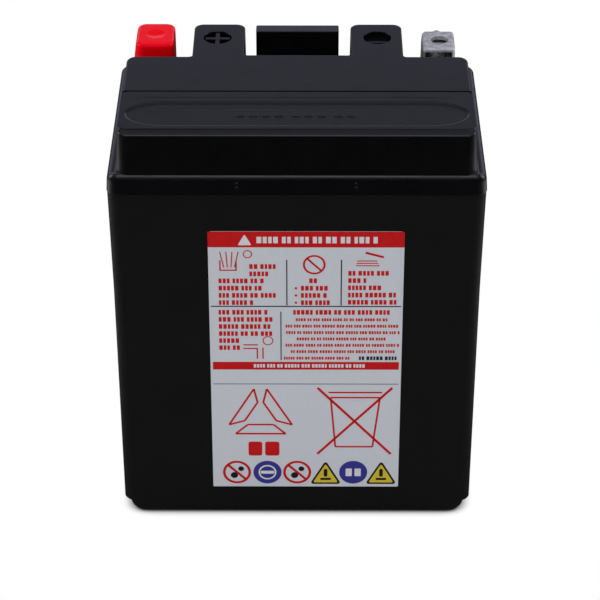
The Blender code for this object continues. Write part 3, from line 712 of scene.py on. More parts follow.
# ---- Case ------------------------------------------------------------------------
def cell_range(cell):
    """Low and high X of a cell, counted from 0 at the positive end."""
    low = -CELLS_HALF_X + cell * (CELL + PARTITION)
    return low, low + CELL


def case_half_y(z):
    share = (z - WALL_START) / (CASE_TOP - WALL_START)
    return CASE_HALF_Y_LOW + share * (CASE_HALF_Y - CASE_HALF_Y_LOW)


def case_half_x(z):
    """The end walls lean out a little more above the middle."""
    if z < CASE_MID:
        share = (z - WALL_START) / (CASE_MID - WALL_START)
        return CASE_HALF_X_LOW + share * (CASE_HALF_X_MID - CASE_HALF_X_LOW)
    share = (z - CASE_MID) / (CASE_TOP - CASE_MID)
    return CASE_HALF_X_MID + share * (CASE_HALF_X - CASE_HALF_X_MID)


def case_corners(half_x, half_y, corner=CASE_CORNER):
    return box_corners((-half_x, -half_y), (half_x, half_y), corner)


def case_levels():
    """The outside, from the rounded foot through the step at each end and the leaning walls to the top."""
    levels = edge_levels(case_corners(FOOT_HALF_X, CASE_HALF_Y_LOW, FOOT_CORNER), 0.0, FOOT_RADIUS, -1, 6)
    for step in range(ARC + 1):
        share = (1 - math.cos(math.pi * step / ARC)) / 2
        z = FOOT_HEIGHT + (WALL_START - FOOT_HEIGHT) * step / ARC
        half_x = FOOT_HALF_X + (CASE_HALF_X_LOW - FOOT_HALF_X) * share
        corner = FOOT_CORNER + (CASE_CORNER - FOOT_CORNER) * share
        levels.append((z, rounded_outline(case_corners(half_x, CASE_HALF_Y_LOW, corner))))
    for z in (30.0, 60.0, CASE_MID, 125.0):
        levels.append((z, rounded_outline(case_corners(case_half_x(z), case_half_y(z)))))
    return levels + edge_levels(case_corners(CASE_HALF_X, CASE_HALF_Y), CASE_TOP, SKIRT_LIP, 1, 3)


def make_case():
    cavities = []
    for cell in range(CELLS):
        low, high = cell_range(cell)
        left_heel = CASE_HEEL if cell == 0 else 0.0
        right_heel = CASE_HEEL if cell == CELLS - 1 else 0.0
        rings = []
        for z, left, right in (
            (CASE_FLOOR, left_heel, right_heel),
            (CASE_FLOOR + CASE_HEEL, 0.0, 0.0),
            (CASE_TOP + PAST, 0.0, 0.0),
        ):
            corners = box_corners((low + left, -CELLS_HALF_Y), (high - right, CELLS_HALF_Y), CELL_CORNER)
            rings.append((z, rounded_outline(corners, 4)))
        cavities.append(stack(rings))
    holes = []
    for cell in range(CELLS - 1):
        y = WELD_Y if cell % 2 else -WELD_Y
        hole = turned([(WELD_HOLE, -PAST), (WELD_HOLE, PARTITION + PAST)], sides=32)
        holes.append(turn_to(hole, (cell_range(cell)[1], y, WELD_Z), "Y"))
    steps = [(CUT, merged(*cavities)), (CUT, merged(*holes))]
    replace(carve("case_shell", stack(case_levels()), steps), "case")


# ---- Lid -------------------------------------------------------------------------
def tab_corners(tab, right_root, left_root):
    low, high = tab
    ends = [(high, TAB_REAR, TAB_CORNER), (low, TAB_REAR, TAB_CORNER)]
    return [(high, right_root, INNER_CORNER)] + ends + [(low, left_root, INNER_CORNER)]


def raised_corners():
    """Plan of the plateau with its two tabs, counter-clockwise from the front left, as (x, y, radius)."""
    left, right = -PLATEAU_HALF_X, PLATEAU_HALF_X
    corners = [(x, PLATEAU_FRONT, PLATEAU_FRONT_CORNER) for x in (left, right)]
    corners.append((right, PLATEAU_REAR, PLATEAU_REAR_CORNER))
    corners += tab_corners(TABS[1], PLATEAU_REAR, PLATEAU_REAR_MIDDLE)
    corners += tab_corners(TABS[0], PLATEAU_REAR_MIDDLE, PLATEAU_REAR)
    return corners + [(left, PLATEAU_REAR, PLATEAU_REAR_CORNER)]


def foot_reach(z, y, front, outer):
    """How far the raised block stands out past its plan, for how much its wall faces the front or an end."""
    low = share_of((LEDGE + PLATEAU_FLARE - z) / PLATEAU_FLARE)
    fillet = PLATEAU_FLARE * (1 - math.sqrt(1 - low ** 2))
    nearness = 0.45 + 0.55 * share_of((PLATEAU_REAR - y) / (PLATEAU_REAR - PLATEAU_FRONT))
    slope = TAB_SLOPE + (PLATEAU_SLOPE * nearness - TAB_SLOPE) * outer
    side_reach = fillet + slope * share_of((LID_TOP - z) / (LID_TOP - LEDGE))
    return (1 - front) * side_reach


def edge_profile(front, outer, steps=6):
    """(inset, drop) pairs round the top edge: broad and crowned at the front, tighter elsewhere."""
    radius = REAR_EDGE + (SIDE_EDGE - REAR_EDGE) * outer
    last = math.radians(80)
    pairs = []
    for step in range(steps + 1):
        turn = last * step / steps
        front_in = FRONT_EDGE * (1 - math.cos(turn))
        front_drop = CROWN_DROPS[0] + FRONT_EDGE * (math.sin(last) - math.sin(turn))
        side_in, side_drop = quarter(radius, steps)[step]
        pairs.append((front * front_in + (1 - front) * side_in, front * front_drop + (1 - front) * side_drop))
    for step, drop in enumerate(CROWN_DROPS[1:], 1):
        side_in = radius + 0.02 * step
        pairs.append((front * (front_in + CROWN_STEP * step) + (1 - front) * side_in, front * drop))
    return pairs


def raised_block():
    """The plateau and its tabs: sloping walls, rounded top edges and a foot that runs out into the ledge."""
    corners = raised_corners()
    plan = [Vector(point) for point in rounded_outline(corners)]
    nearer = [Vector(point) for point in inset_outline(corners, 0.5)]
    columns = []
    for point, near in zip(plan, nearer):
        inward = (near - point).normalized()
        front = max(inward.y, 0.0) ** 2
        outer = inward.x ** 2 if abs(point.x) > PLATEAU_HALF_X - 2 * PLATEAU_REAR_CORNER else 0.0
        column = []
        for z in steps_between(PLATEAU_ROOT, LEDGE + PLATEAU_FLARE + 0.2, 0.28):
            place = point - inward * foot_reach(z, point.y, front, outer)
            column.append((place.x, place.y, z))
        for step_in, drop in edge_profile(front, outer):
            z = LID_TOP - drop
            radial = min(step_in, PLATEAU_FRONT_CORNER - 0.4)
            place = point + inward * (radial - foot_reach(z, point.y, front, outer))
            place.y += (step_in - radial) * front
            column.append((place.x, place.y, z))
        columns.append(column)
    return add_loft(bmesh.new(), [list(ring) for ring in zip(*columns)])


def lid_hollows():
    """One hollow per cell under the ledge, the channel, the plateau and the tabs, as four groups of boxes."""
    roof = LID_TOP - LID_WALL
    below = LID_LOW.z - SEAM_DROP - PAST
    inner_half_y = LID_HIGH.y - 2.5
    inner_half_x = LID_HIGH.x - LID_WALL
    wide, under_channel, behind_channel, under_tabs = [], [], [], []
    for cell in range(CELLS):
        low, high = cell_range(cell)
        wide_low = -inner_half_x if cell == 0 else low
        wide_high = inner_half_x if cell == CELLS - 1 else high
        narrow_low = max(low, -PLATEAU_HALF_X + LID_WALL)
        narrow_high = min(high, PLATEAU_HALF_X - LID_WALL)
        front = PLATEAU_FRONT + LID_WALL
        rear = PLATEAU_REAR - LID_WALL
        wide.append(((wide_low, -inner_half_y, below), (wide_high, inner_half_y, LEDGE_UNDERSIDE)))
        under_channel.append(((narrow_low, front, below), (narrow_high, CHANNEL_REAR, CHANNEL_UNDERSIDE)))
        behind_channel.append(((narrow_low, CHANNEL_REAR + LID_WALL, below), (narrow_high, rear, roof)))
        for tab_low, tab_high in TABS:
            inner_low, inner_high = max(low, tab_low + LID_WALL), min(high, tab_high - LID_WALL)
            if inner_high - inner_low > CELL / 2:
                tab_front = (inner_low, rear - LID_WALL, below)
                under_tabs.append((tab_front, (inner_high, TAB_REAR - LID_WALL, roof - MARK_DEPTH)))
    return [(CUT, boxes(group)) for group in (wide, under_channel, behind_channel, under_tabs)]


def channel_cuts():
    """The channel for the valves, the seat for the strip, and the rebates for its wrapped-over ends."""
    above = LID_TOP + PAST
    past = PLATEAU_HALF_X + 3 * PAST
    low = (-CHANNEL_HALF_X, CHANNEL_FRONT, CHANNEL_FLOOR)
    channel = rounded_block(low, (CHANNEL_HALF_X, CHANNEL_REAR, above), 1.2, 0.1, 0.5, 4)
    front, rear = STRIP_LOW.y - FRONT_GROOVE, STRIP_HIGH.y + REAR_GROOVE
    seat = [(-past, front - FRONT_GROOVE), (past, front), (past, rear), (-past, rear)]
    rows = [(STRIP_SEAT - STRIP_GAP, seat), (above, seat)]
    hook_inner = STRIP_HALF_X - HOOK - STRIP_GAP
    front, rear = HOOK_FRONT - STRIP_GAP, HOOK_REAR + STRIP_GAP
    bottom = STRIP_LOW.z - STRIP_GAP
    rebates = boxes([
        ((-past, front, bottom), (-hook_inner, rear, above)),
        ((hook_inner, front, bottom), (past, rear, above)),
    ])
    return [(CUT, channel), (CUT, stack(rows)), (CUT, rebates)]


def nipple_steps():
    root = (CHANNEL_UNDERSIDE + CHANNEL_FLOOR) / 2
    nipples, bores = [], []
    for cell in range(CELLS):
        centre = ((cell - (CELLS - 1) / 2) * VALVE_PITCH, VALVE_Y, 0.0)
        rows = [(NIPPLE_RADIUS + 0.6, root), (NIPPLE_RADIUS + 0.6, CHANNEL_FLOOR)]
        rows += [(NIPPLE_RADIUS, CHANNEL_FLOOR + 0.25), (NIPPLE_RADIUS, NIPPLE_TOP - 0.6)]
        rows += [(NIPPLE_RADIUS - 0.2, NIPPLE_TOP - 0.2), (NIPPLE_RADIUS - 0.6, NIPPLE_TOP)]
        nipples.append(turned(rows, centre, sides=48))
        bore = lipped_hole(NIPPLE_BORE, 0.3, CHANNEL_UNDERSIDE - PAST, NIPPLE_TOP)
        bores.append(turned(bore, centre, sides=32))
    return [(JOIN, merged(*nipples)), (CUT, merged(*bores))]


def mark_block(half_x, half_y, x, root, top):
    """A raised bar with rounded edges."""
    low, high = (x - half_x, MARK_Y - half_y, root), (x + half_x, MARK_Y + half_y, top)
    return rounded_block(low, high, 0.25, 0.2, 0.05, 3)


def polarity_marks():
    """A round recess in each tab, with a raised plus at the positive end and a lower bar at the other."""
    steps = []
    floor = LID_TOP - MARK_DEPTH
    for side, depth in ((-1, PLUS_DEPTH), (1, MINUS_DEPTH)):
        x = side * MARK_X
        rows = [(MARK_RADIUS - 0.25, floor), (MARK_RADIUS, floor + 0.25)]
        rows += lipped_hole(MARK_RADIUS, MARK_LIP, floor + 0.6, LID_TOP)
        steps.append((CUT, turned(rows, (x, MARK_Y, 0.0))))
        root, top = floor - 0.4, LID_TOP - depth
        steps.append((JOIN, mark_block(MARK_HALF_LENGTH, MARK_HALF_WIDTH, x, root, top)))
        if side < 0:
            steps.append((JOIN, mark_block(MARK_HALF_WIDTH, MARK_HALF_LENGTH, x, root - 0.1, top + 0.01)))
    return steps


def make_painted_shade_linings():
    """A thin cup of painted shade, a darker matt black, in each round recess, which the mark stands up
    through.
    """
    for side, pole in ((-1, "positive"), (1, "negative")):
        floor, rim = LID_TOP - MARK_DEPTH, LID_TOP - MARK_LIP - 0.05
        reach = MARK_RADIUS - 0.03
        outside = [(0.05, floor + 0.02), (reach - 0.3, floor + 0.02), (reach, floor + 0.3), (reach, rim)]
        inside = [(reach - 0.08, rim), (reach - 0.1, floor + 0.35), (reach - 0.35, floor + 0.1)]
        rows = outside + inside + [(0.05, floor + 0.1)]
        lining = new_object(turned(rows, (side * MARK_X, MARK_Y, 0.0)), f"{pole}_painted_shade_lining")
        ride_on(lining, "battery", MATERIALS["recess"])


def post_bores():
    """Bosses under the ledge that hold the post seals, and the bores for the posts."""
    bosses, seats, bores = [], [], []
    for node in ("positive_seal", "negative_seal"):
        low, high = box_mm(node)
        below = LID_LOW.z - PAST
        seat = (high.x - low.x) / 2 + SEAL_GAP
        for group, radius, bottom, top in (
            (bosses, seat + 1.5, LID_LOW.z, LEDGE - 0.9),
            (seats, seat, below, high.z + SEAL_GAP),
            (bores, POST_RADIUS + SEAL_GAP, below, LEDGE + PAST),
        ):
            group.append(turned([(radius, bottom), (radius, top)], centre_of(node), sides=48))
    return [(JOIN, merged(*bosses)), (CUT, merged(*seats)), (CUT, merged(*bores))]


def skirt_nubs():
    """Two pairs of small moulded nubs, one above the other, on the front of the skirt."""
    nubs = []
    for x in NUBS_X:
        for drop in NUB_DROPS:
            nub = turned([(0.7, -0.5), (0.7, 0.12), (0.55, 0.26), (0.3, 0.32)], sides=24)
            nubs.append(turn_to(nub, (x, LID_LOW.y - FRONT_LEDGE_REACH, LEDGE - drop), "X"))
    return merged(*nubs)


def lid_skirt():
    """The rim, with a broad round edge, ends that lean in and a front edge that stands up to the plateau."""
    corners = box_corners((LID_LOW.x, LID_LOW.y - FRONT_LEDGE_REACH), LID_HIGH, SKIRT_CORNER)
    levels = edge_levels(corners, LID_LOW.z - SEAM_DROP, SKIRT_LIP, -1, 3)
    levels += edge_levels(corners, LEDGE, SKIRT_RADIUS, 1, 10)
    levels.append((LEDGE, inset_outline(corners, SKIRT_CORNER + 2.0)))
    skirt = stack(levels)
    for vertex in skirt.verts:
        height = share_of((vertex.co.z - LEDGE) / SKIRT_RADIUS + 1)
        lean = share_of((vertex.co.z - LEDGE) / SKIRT_LEAN_HEIGHT + 1)
        vertex.co.x -= math.copysign(SKIRT_LEAN * lean, vertex.co.x)
        near_front = share_of((FRONT_LEDGE_START - vertex.co.y) / FRONT_LEDGE_RUN)
        vertex.co.z += FRONT_LEDGE_RISE * height * near_front
    return skirt


def strap_bar():
    """The bar between the tabs, whose top falls a little towards the back."""
    low, high = (-BAR_HALF_X, BAR_FRONT, PLATEAU_ROOT), (BAR_HALF_X, BAR_REAR, LID_TOP)
    bar = rounded_block(low, high, 0.7, BAR_RADIUS)
    for vertex in bar.verts:
        if vertex.co.z > LID_TOP - 1.0:
            vertex.co.z -= BAR_TILT * (vertex.co.y - BAR_FRONT) / (BAR_REAR - BAR_FRONT)
    return bar


def make_lid():
    steps = [(JOIN, raised_block()), (JOIN, strap_bar()), (JOIN, skirt_nubs())]
    steps += lid_hollows() + channel_cuts() + nipple_steps() + polarity_marks() + post_bores()
    lid = carve("lid_moulding", lid_skirt(), steps)
    clean(lid)
    make_painted_shade_linings()
    replace(lid, "lid")


# ---- Strip over the valves -------------------------------------------------------
def raised_dashes():
    """A row of plain raised dashes, in three groups, along the middle of the strip's recess."""
    dashes = []
    floor = STRIP_HIGH.z - STADIUM_DEPTH
    middle = (STADIUM_FRONT + STADIUM_REAR) / 2
    x = DASHES_START
    for group in (4, 3, 2):
        for _ in range(group):
            low, high = (x, middle - 1.5, floor - 0.3), (x + DASH, middle + 1.5, floor + 0.28)
            dashes.append(rounded_block(low, high, 0.9, 0.22, 0.05, 3))
            x += DASH_PITCH
        x += DASH_GROUP_GAP
    return merged(*dashes)


def make_strip():
    front, rear, top = STRIP_LOW.y, STRIP_HIGH.y, STRIP_HIGH.z
    plate_low = (-STRIP_HALF_X, front, STRIP_SEAT)
    plate = rounded_block(plate_low, (STRIP_HALF_X, rear, top), STRIP_CORNER, STRIP_RADIUS, 0.15, 4)
    inside = STRIP_SEAT + STRIP / 2
    hook_inner = STRIP_HALF_X - HOOK
    hooks = []
    for left, right in ((-STRIP_HALF_X, -hook_inner), (hook_inner, STRIP_HALF_X)):
        low, high = (left, HOOK_FRONT, STRIP_LOW.z), (right, HOOK_REAR, inside)
        hooks.append(rounded_block(low, high, 0.3, 0.05, 0.3, 3))
    rim_half_x = CHANNEL_HALF_X - STRIP_GAP
    rim_front, rim_rear = CHANNEL_FRONT + STRIP_GAP, CHANNEL_REAR - STRIP_GAP
    rim_low = (-rim_half_x, rim_front, RIM_BOTTOM)
    rim = rounded_block(rim_low, (rim_half_x, rim_rear, inside), 1.0, 0.05, 0.4, 4)
    inner_low = (-rim_half_x + RIM, rim_front + RIM, RIM_BOTTOM - PAST)
    inner = rounded_block(inner_low, (rim_half_x - RIM, rim_rear - RIM, STRIP_SEAT), 0.5, 0.3, 0.05, 4)
    floor = top - STADIUM_DEPTH
    walls = ((floor, -0.45), (floor + 0.06, -0.28), (top - 0.18, 0.0), (top - 0.08, 0.18))
    lips = ((top - 0.02, 0.42), (top, 0.62), (top + PAST, 0.62))
    recess = stack([(z, stadium_outline(grow)) for z, grow in walls + lips])
    crease_low = (-CREASE_HALF_X, CREASE_Y - 0.30, top - 0.14)
    crease = rounded_block(crease_low, (CREASE_HALF_X, CREASE_Y + 0.30, top + PAST), 0.28, 0.05, 0.12, 3)
    steps = [(JOIN, merged(*hooks)), (JOIN, rim), (CUT, inner), (CUT, recess)]
    steps += [(JOIN, raised_dashes()), (CUT, crease)]
    strip = carve("valve_strip", plate, steps)
    clean(strip)
    replace(strip, "vent_strip")


def make_valve_caps():
    """Each rubber cap is a turned cup over its nipple, with a rounded crown and a small skirt."""
    for cell in range(CELLS):
        node = f"valve_cap_{cell + 1}"
        low, high = box_mm(node)
        centre = centre_of(node)
        radius = (high.x - low.x) / 2
        wall = radius - 0.25
        rows = [(VALVE_INNER_RADIUS, low.z), (radius - 0.1, low.z), (radius, low.z + 0.15)]
        rows += [(radius, low.z + 0.9), (wall, low.z + 1.1), (wall, high.z - 1.1)]
        rows += [(wall - step_in, high.z - drop) for step_in, drop in quarter(1.0)]
        rows += [(2.2, high.z), (1.8, high.z - 0.3), (0.05, high.z - 0.3)]
        rows += [(0.05, NIPPLE_TOP + 0.3), (VALVE_INNER_RADIUS - 0.3, NIPPLE_TOP + 0.3)]
        rows.append((VALVE_INNER_RADIUS, NIPPLE_TOP))
        cap = new_object(turned(rows, centre, sides=48, torus=True), f"rubber_valve_{cell + 1}")
        close_axis(cap, centre)
        replace(cap, node)


def close_axis(piece, centre):
    """Closes the pinhole that a torus of rows leaves round the turning axis."""
    with opened(piece) as bm:
        near = [v for v in bm.verts if math.hypot(v.co.x - centre[0], v.co.y - centre[1]) < 0.1]
        pinhole = [f for f in bm.faces if all(v in near for v in f.verts)]
        bmesh.ops.delete(bm, geom=pinhole, context="FACES_ONLY")
        bmesh.ops.holes_fill(bm, edges=[e for e in bm.edges if e.is_boundary], sides=0)
        bmesh.ops.recalc_face_normals(bm, faces=bm.faces)


# ---- Terminals and their hardware ------------------------------------------------
def make_terminal(pole, seed):
    """A cast lead box, open at the front, with holes in its roof and back, on a post through the lid."""
    node = f"{pole}_terminal"
    low, high = box_mm(node)
    x, y, _ = centre_of(node)
    outwards = math.copysign(1.0, x)
    bottom = LEDGE + 0.3
    bolt_low, bolt_high = box_mm(f"{pole}_bolt")
    bolt_z = (bolt_low.z + bolt_high.z) / 2
    outer = rounded_block((low.x, low.y, bottom), high, TERMINAL_CORNER, TERMINAL_EDGE, 0.4)
    cavity_low = (low.x + TERMINAL_WALL, low.y - PAST, bottom + TERMINAL_FLOOR)
    cavity_high = (high.x - TERMINAL_WALL, high.y - TERMINAL_BACK, high.z - TERMINAL_ROOF)
    cavity = rounded_block(cavity_low, cavity_high, 0.4, 0.4, 0.4, 3)
    roof_rows = lipped_hole(TERMINAL_HOLE, 0.35, high.z - 2 * TERMINAL_ROOF, high.z)
    roof_hole = turned(roof_rows, (x + outwards * ROOF_HOLE_SHIFT, y, 0.0))
    for vertex in outer.verts:
        height = share_of((vertex.co.z - high.z) / ROOF_TAPER_HEIGHT + 1)
        inner_side = share_of(0.5 - outwards * (vertex.co.x - x) / (high.x - low.x))
        vertex.co.x += outwards * ROOF_TAPER * height * inner_side
    back_rows = lipped_hole(TERMINAL_HOLE, 0.25, -2 * TERMINAL_BACK, 0.0)
    back_hole = turned(back_rows, (x, high.y, bolt_z), "Y")
    post = turned([(POST_RADIUS, low.z), (POST_RADIUS, bottom + 1.0)], (x, y, 0.0))
    steps = [(CUT, hole) for hole in (cavity, roof_hole, back_hole)]
    terminal = carve(f"{pole}_lead_terminal", outer, steps + [(JOIN, post)])
    clean(terminal)
    slice_up(terminal, CAST_SLICE)
    roughen(terminal, CAST_ROUGHNESS, CAST_GRAIN, seed)
    replace(terminal, node, 40.0)


def thread_radius(minor, depth):
    """A helical thread's radius at an angle and a height: a wave that climbs one pitch a turn."""

    def radius(angle, height):
        phase = (height / THREAD_PITCH - angle / (2 * math.pi)) % 1.0
        ramp = 1 - abs(2 * phase - 1)
        return minor + depth * share_of(1.5 * ramp - 0.15)

    return radius


def make_bolt(pole):
    """A hexagon bolt along Y: a chamfered head with a washer face, and a rolled thread with a pointed tip."""
    node = f"{pole}_bolt"
    low, high = box_mm(node)
    centre = ((low.x + high.x) / 2, high.y - BOLT_HEAD, (low.z + high.z) / 2)
    across = high.x - low.x
    shank = low.y - centre[1]

    def hexagon(shrink=0.0, limit=across):
        return lambda angle, height: min(polygon_radius(angle, 6, across - 2 * shrink, 0.18), limit)

    def tipped(angle, height):
        room = 2.1 + (height - shank) * 1.1
        return min(thread_radius(THREAD_MINOR, THREAD_MAJOR - THREAD_MINOR)(angle, height), room)

    rows = [(0.3, shank), (2.1, shank)]
    rows += [(tipped, z) for z in steps_between(shank + 0.05, -0.7, THREAD_PITCH / 8)]
    rows += [(2.5, -0.5), (2.65, 0.0), (4.6, 0.0), (4.65, 0.25), (hexagon(0.12), 0.25), (hexagon(), 0.4)]
    flat = across / 2
    corner = flat / math.cos(math.pi / 6)
    for limit, drop in ((corner, 1.0), (corner - 0.2, 0.55), (flat + 0.12, 0.28), (flat - 0.12, 0.1)):
        rows.append((hexagon(0.0, limit), BOLT_HEAD - drop))
    rows += [(flat - 0.45, BOLT_HEAD), (0.3, BOLT_HEAD)]
    bolt = new_object(turned(rows, centre, "Y", 72), f"{pole}_hex_bolt")
    replace(bolt, node, 28.0)


def make_nut(pole):
    """A square nut along Y, with rounded corners, a countersunk bore and its thread."""
    node = f"{pole}_nut"
    low, high = box_mm(node)
    centre = ((low.x + high.x) / 2, low.y, (low.z + high.z) / 2)
    across, thick = high.x - low.x, high.y - low.y
    bore = thread_radius(NUT_MINOR, NUT_THREAD)

    def square(limit, shrink=0.0):
        return lambda angle, height: min(polygon_radius(angle, 4, across - 2 * shrink, 0.45), limit)

    reach = across / 2 * math.sqrt(2)
    rows = [(3.55, 0.0), (square(across / 2 + 0.15, 0.25), 0.0), (square(reach - 1.2, 0.05), 0.3)]
    rows += [(square(reach), 0.75), (square(reach), thick - 0.35), (square(reach - 0.8, 0.1), thick - 0.1)]
    rows += [(square(reach - 1.1, 0.3), thick), (3.55, thick)]
    rows += [(bore, z) for z in steps_between(thick - 0.35, 0.35, THREAD_PITCH / 8)]
    nut = new_object(turned(rows, centre, "Y", 80, torus=True), f"{pole}_square_nut")
    replace(nut, node, 28.0)


# ---- Red cap ---------------------------------------------------------------------
def cap_outline(low, high, side_in, step_in=0.0):
    """Plan of the cap at one height. Its outer end leans in most, its other end and its back least."""
    near = (low.x - CAP_SHIFT + side_in, low.y + 0.4 * side_in)
    far = (high.x - CAP_SHIFT - 0.2 - 0.1 * side_in, high.y - 0.15 * side_in)
    return inset_outline(box_corners(near, far, CAP_CORNER), step_in, 10)


def make_terminal_cap():
    """A soft cap with thick rounded edges, sides that lean in, a round dimple and a notch at the back."""
    low, high = box_mm("terminal_cap")
    edge_start = high.z - CAP_EDGE
    levels = [(low.z, cap_outline(low, high, 0.25)), (low.z + 0.12, cap_outline(low, high, 0.08))]
    for z in steps_between(low.z + 0.4, edge_start - 0.3, 1.2):
        share = share_of((z - high.z) / CAP_HEIGHT + 1)
        levels.append((z, cap_outline(low, high, CAP_SLOPE * share ** 1.4)))
    for step_in, drop in quarter(CAP_EDGE, 10):
        levels.append((high.z - drop, cap_outline(low, high, 0.9 * CAP_SLOPE, step_in)))
    levels.append((high.z + 0.03, cap_outline(low, high, 0.9 * CAP_SLOPE, CAP_EDGE + 1.4)))
    inner = []
    roof = high.z - CAP_ROOF
    for z, left, right, step_in in (
        (low.z - PAST, 0.95, 1.05, 0.0),
        (roof - 0.6, 1.4, 1.1, 0.0),
        (roof - 0.2, 1.45, 1.15, 0.15),
        (roof, 1.45, 1.15, 0.6),
    ):
        near, far = (low.x + left, low.y + CAP_WALL), (high.x - right, high.y - CAP_WALL)
        inner.append((z, inset_outline(box_corners(near, far, CAP_CORNER - 1.6), step_in)))
    bolt_x = centre_of("positive_bolt")[0]
    notch_low = (bolt_x - NOTCH_HALF_X, high.y - 4.0, low.z - PAST)
    notch = rounded_block(notch_low, (bolt_x + NOTCH_HALF_X, high.y + PAST, NOTCH_TOP), 0.4, 1.6, 0.05)
    bowl = []
    for angle in (0.01, 0.3, 0.6, 0.9, 1.2, 1.45):
        bowl.append((CAP_DIMPLE * math.sin(angle), high.z - CAP_DIMPLE_DEPTH * math.cos(angle) ** 2))
    bowl += [(CAP_DIMPLE, high.z + 0.02), (CAP_DIMPLE, high.z + PAST)]
    dimple = turned(bowl, centre_of("terminal_cap"))
    steps = [(CUT, hole) for hole in (stack(inner), notch, dimple)]
    cap = carve("red_terminal_cap", stack(levels), steps)
    clean(cap)
    replace(cap, "terminal_cap", 50.0)


# ---- Label -----------------------------------------------------------------------
RED_LINE = 2.0  # height of a line of large print
FINE_LINE = 1.25
LINE_PITCH = 3.1
FINE_PITCH = 2.8
PICTOGRAM = 5.35
PICTOGRAM_Z = 20.0


def on_front(outline, depth):
    """Points (x, z) of an outline, laid out in front of the case's wall."""
    return [(x, -case_half_y(z) - depth, z) for x, z in outline]


class Print:
    """Flat printed shapes of one ink. They are drawn on (x, z) and lie on the label, layer over layer."""

    def __init__(self, layer, dice):
        self.bm = bmesh.new()
        self.dice = dice
        self.near = FILM_GAP + FILM + 0.01 + layer * 2 * PRINT
        self.far = self.near + PRINT

    def shape(self, outline):
        add_loft(self.bm, [on_front(outline, self.near), on_front(outline, self.far)])

    def bar(self, left, low, right, high, radius=0.12):
        self.shape(rounded_outline(box_corners((left, low), (right, high), radius), 2))

    def stroke(self, start, end, width):
        start, end = Vector(start), Vector(end)
        side = (end - start).normalized().orthogonal() * width / 2
        self.shape([start - side, end - side, end + side, start + side])

    def loop(self, points, width):
        for start, end in zip(points, points[1:] + points[:1]):
            self.stroke(start, end, width)

    def ring(self, centre, radius, width, sides=40):
        outer, inner = circle(centre, radius, sides), circle(centre, radius - width, sides)
        rows = ((outer, self.near), (outer, self.far), (inner, self.far), (inner, self.near))
        add_loft(self.bm, [on_front(outline, depth) for outline, depth in rows], torus=True)

    def disc(self, centre, radius, sides=40):
        self.shape(circle(centre, radius, sides))

    def triangle(self, centre, half, radius=0.5):
        x, z = centre
        low, high = z - half * 0.92, z + half * 0.92
        self.shape(rounded_outline([(x - half, low, radius), (x + half, low, radius), (x, high, radius)], 4))

    def words(self, left, z, length, height):
        """A line of plain blocks, grouped as words are. None of them is a letter."""
        x = left
        block = height * 0.52
        while x < left + length - block:
            for _ in range(self.dice.choice((2, 3, 4, 5))):
                if x + block > left + length:
                    break
                wide = block * self.dice.uniform(0.85, 1.25)
                self.bar(x, z - height / 2, x + wide, z + height / 2, 0.1)
                x += wide + height * 0.20
            x += height * 0.34


def make_film():
    low, high, corner = LABEL_LOW, LABEL_HIGH, LABEL_CORNER
    feet = [(low.x, low.z, LABEL_FOOT_CORNER), (high.x, low.z, LABEL_FOOT_CORNER)]
    corners = feet + [(high.x, high.z, corner), (low.x, high.z, corner)]
    rings = []
    for step_in, depth in ((0.0, FILM_GAP), (0.0, FILM_GAP + FILM * 0.7), (0.06, FILM_GAP + FILM)):
        rings.append(on_front(inset_outline(corners, step_in), depth))
    film = new_object(add_loft(bmesh.new(), rings), "label_sheet")
    film.data.transform(Matrix.Translation(LABEL_SHIFT))
    replace(film, "label")


def make_print():
    """Bands, rules, rows of blocks and simple pictograms, one piece for each ink."""
    dice = random.Random(7)
    layers = {"red": 0, "black": 0, "blue": 0, "yellow": 1, "white": 1, "marks": 2}
    inks = {name: Print(layer, dice) for name, layer in layers.items()}
    draw_bands(inks["red"], inks["black"], inks["white"])
    draw_paragraphs(inks["red"], inks["black"])
    draw_small_figures(inks["red"])
    draw_large_figures(inks["red"])
    draw_pictograms(**inks)
    for name, ink in inks.items():
        piece = new_object(ink.bm, f"label_print_{name}")
        piece.data.transform(Matrix.Translation(LABEL_SHIFT))
        ride_on(piece, "battery", MATERIALS["black" if name == "marks" else name])


def draw_bands(red, black, white):
    left, right = LABEL_LOW.x, LABEL_HIGH.x
    red.bar(left, 120.1, right, LABEL_HIGH.z, 0.3)
    white.triangle((-19.0, 123.3), 2.5, 0.3)
    white.words(-14.7, 123.2, 44.8, 2.7)
    red.bar(left + 0.9, 67.2, right - 0.9, 70.6, 0.1)
    white.words(-16.2, 68.9, 41.1, 1.5)
    for x in (-3.9, 15.8):
        black.bar(x - 0.22, 95.4, x + 0.22, 114.9)
    black.bar(left + 0.6, 94.75, right - 0.6, 95.2)
    black.bar(-6.3, 71.4, -5.9, 92.7)
    black.bar(left + 0.9, 60.6, right - 0.9, 60.85, 0.05)


def draw_paragraphs(red, black):
    for left, top, lengths in (
        (-17.4, 112.0, (10.6, 7.8)),
        (-28.6, 105.9, (16.2, 15.4, 22.1, 13.5)),
        (4.2, 106.0, (4.2,)),
        (1.2, 102.8, (9.8, 9.9, 11.6)),
        (18.3, 109.2, (14.8, 6.8, 13.2, 17.6, 18.9)),
        (-28.8, 92.4, (18.0, 20.0, 20.0, 20.0, 7.6, 7.8)),
        (-1.6, 92.4, (36.2,)),
    ):
        for i, length in enumerate(lengths):
            red.words(left, top - i * LINE_PITCH, length, RED_LINE)
    for i in range(3):
        red.disc((-0.6, 102.8 - i * LINE_PITCH), 0.5, 16)
    for i, width in enumerate((34.5, 42.0, 41.7, 33.8, 42.1, 38.2)):
        red.words(16.6 - width / 2, 89.2 - i * FINE_PITCH, width, FINE_LINE)
    red.words(-5.1, 72.3, 25.0, FINE_LINE)
    black.words(22.6, 72.3, 14.8, 1.6)


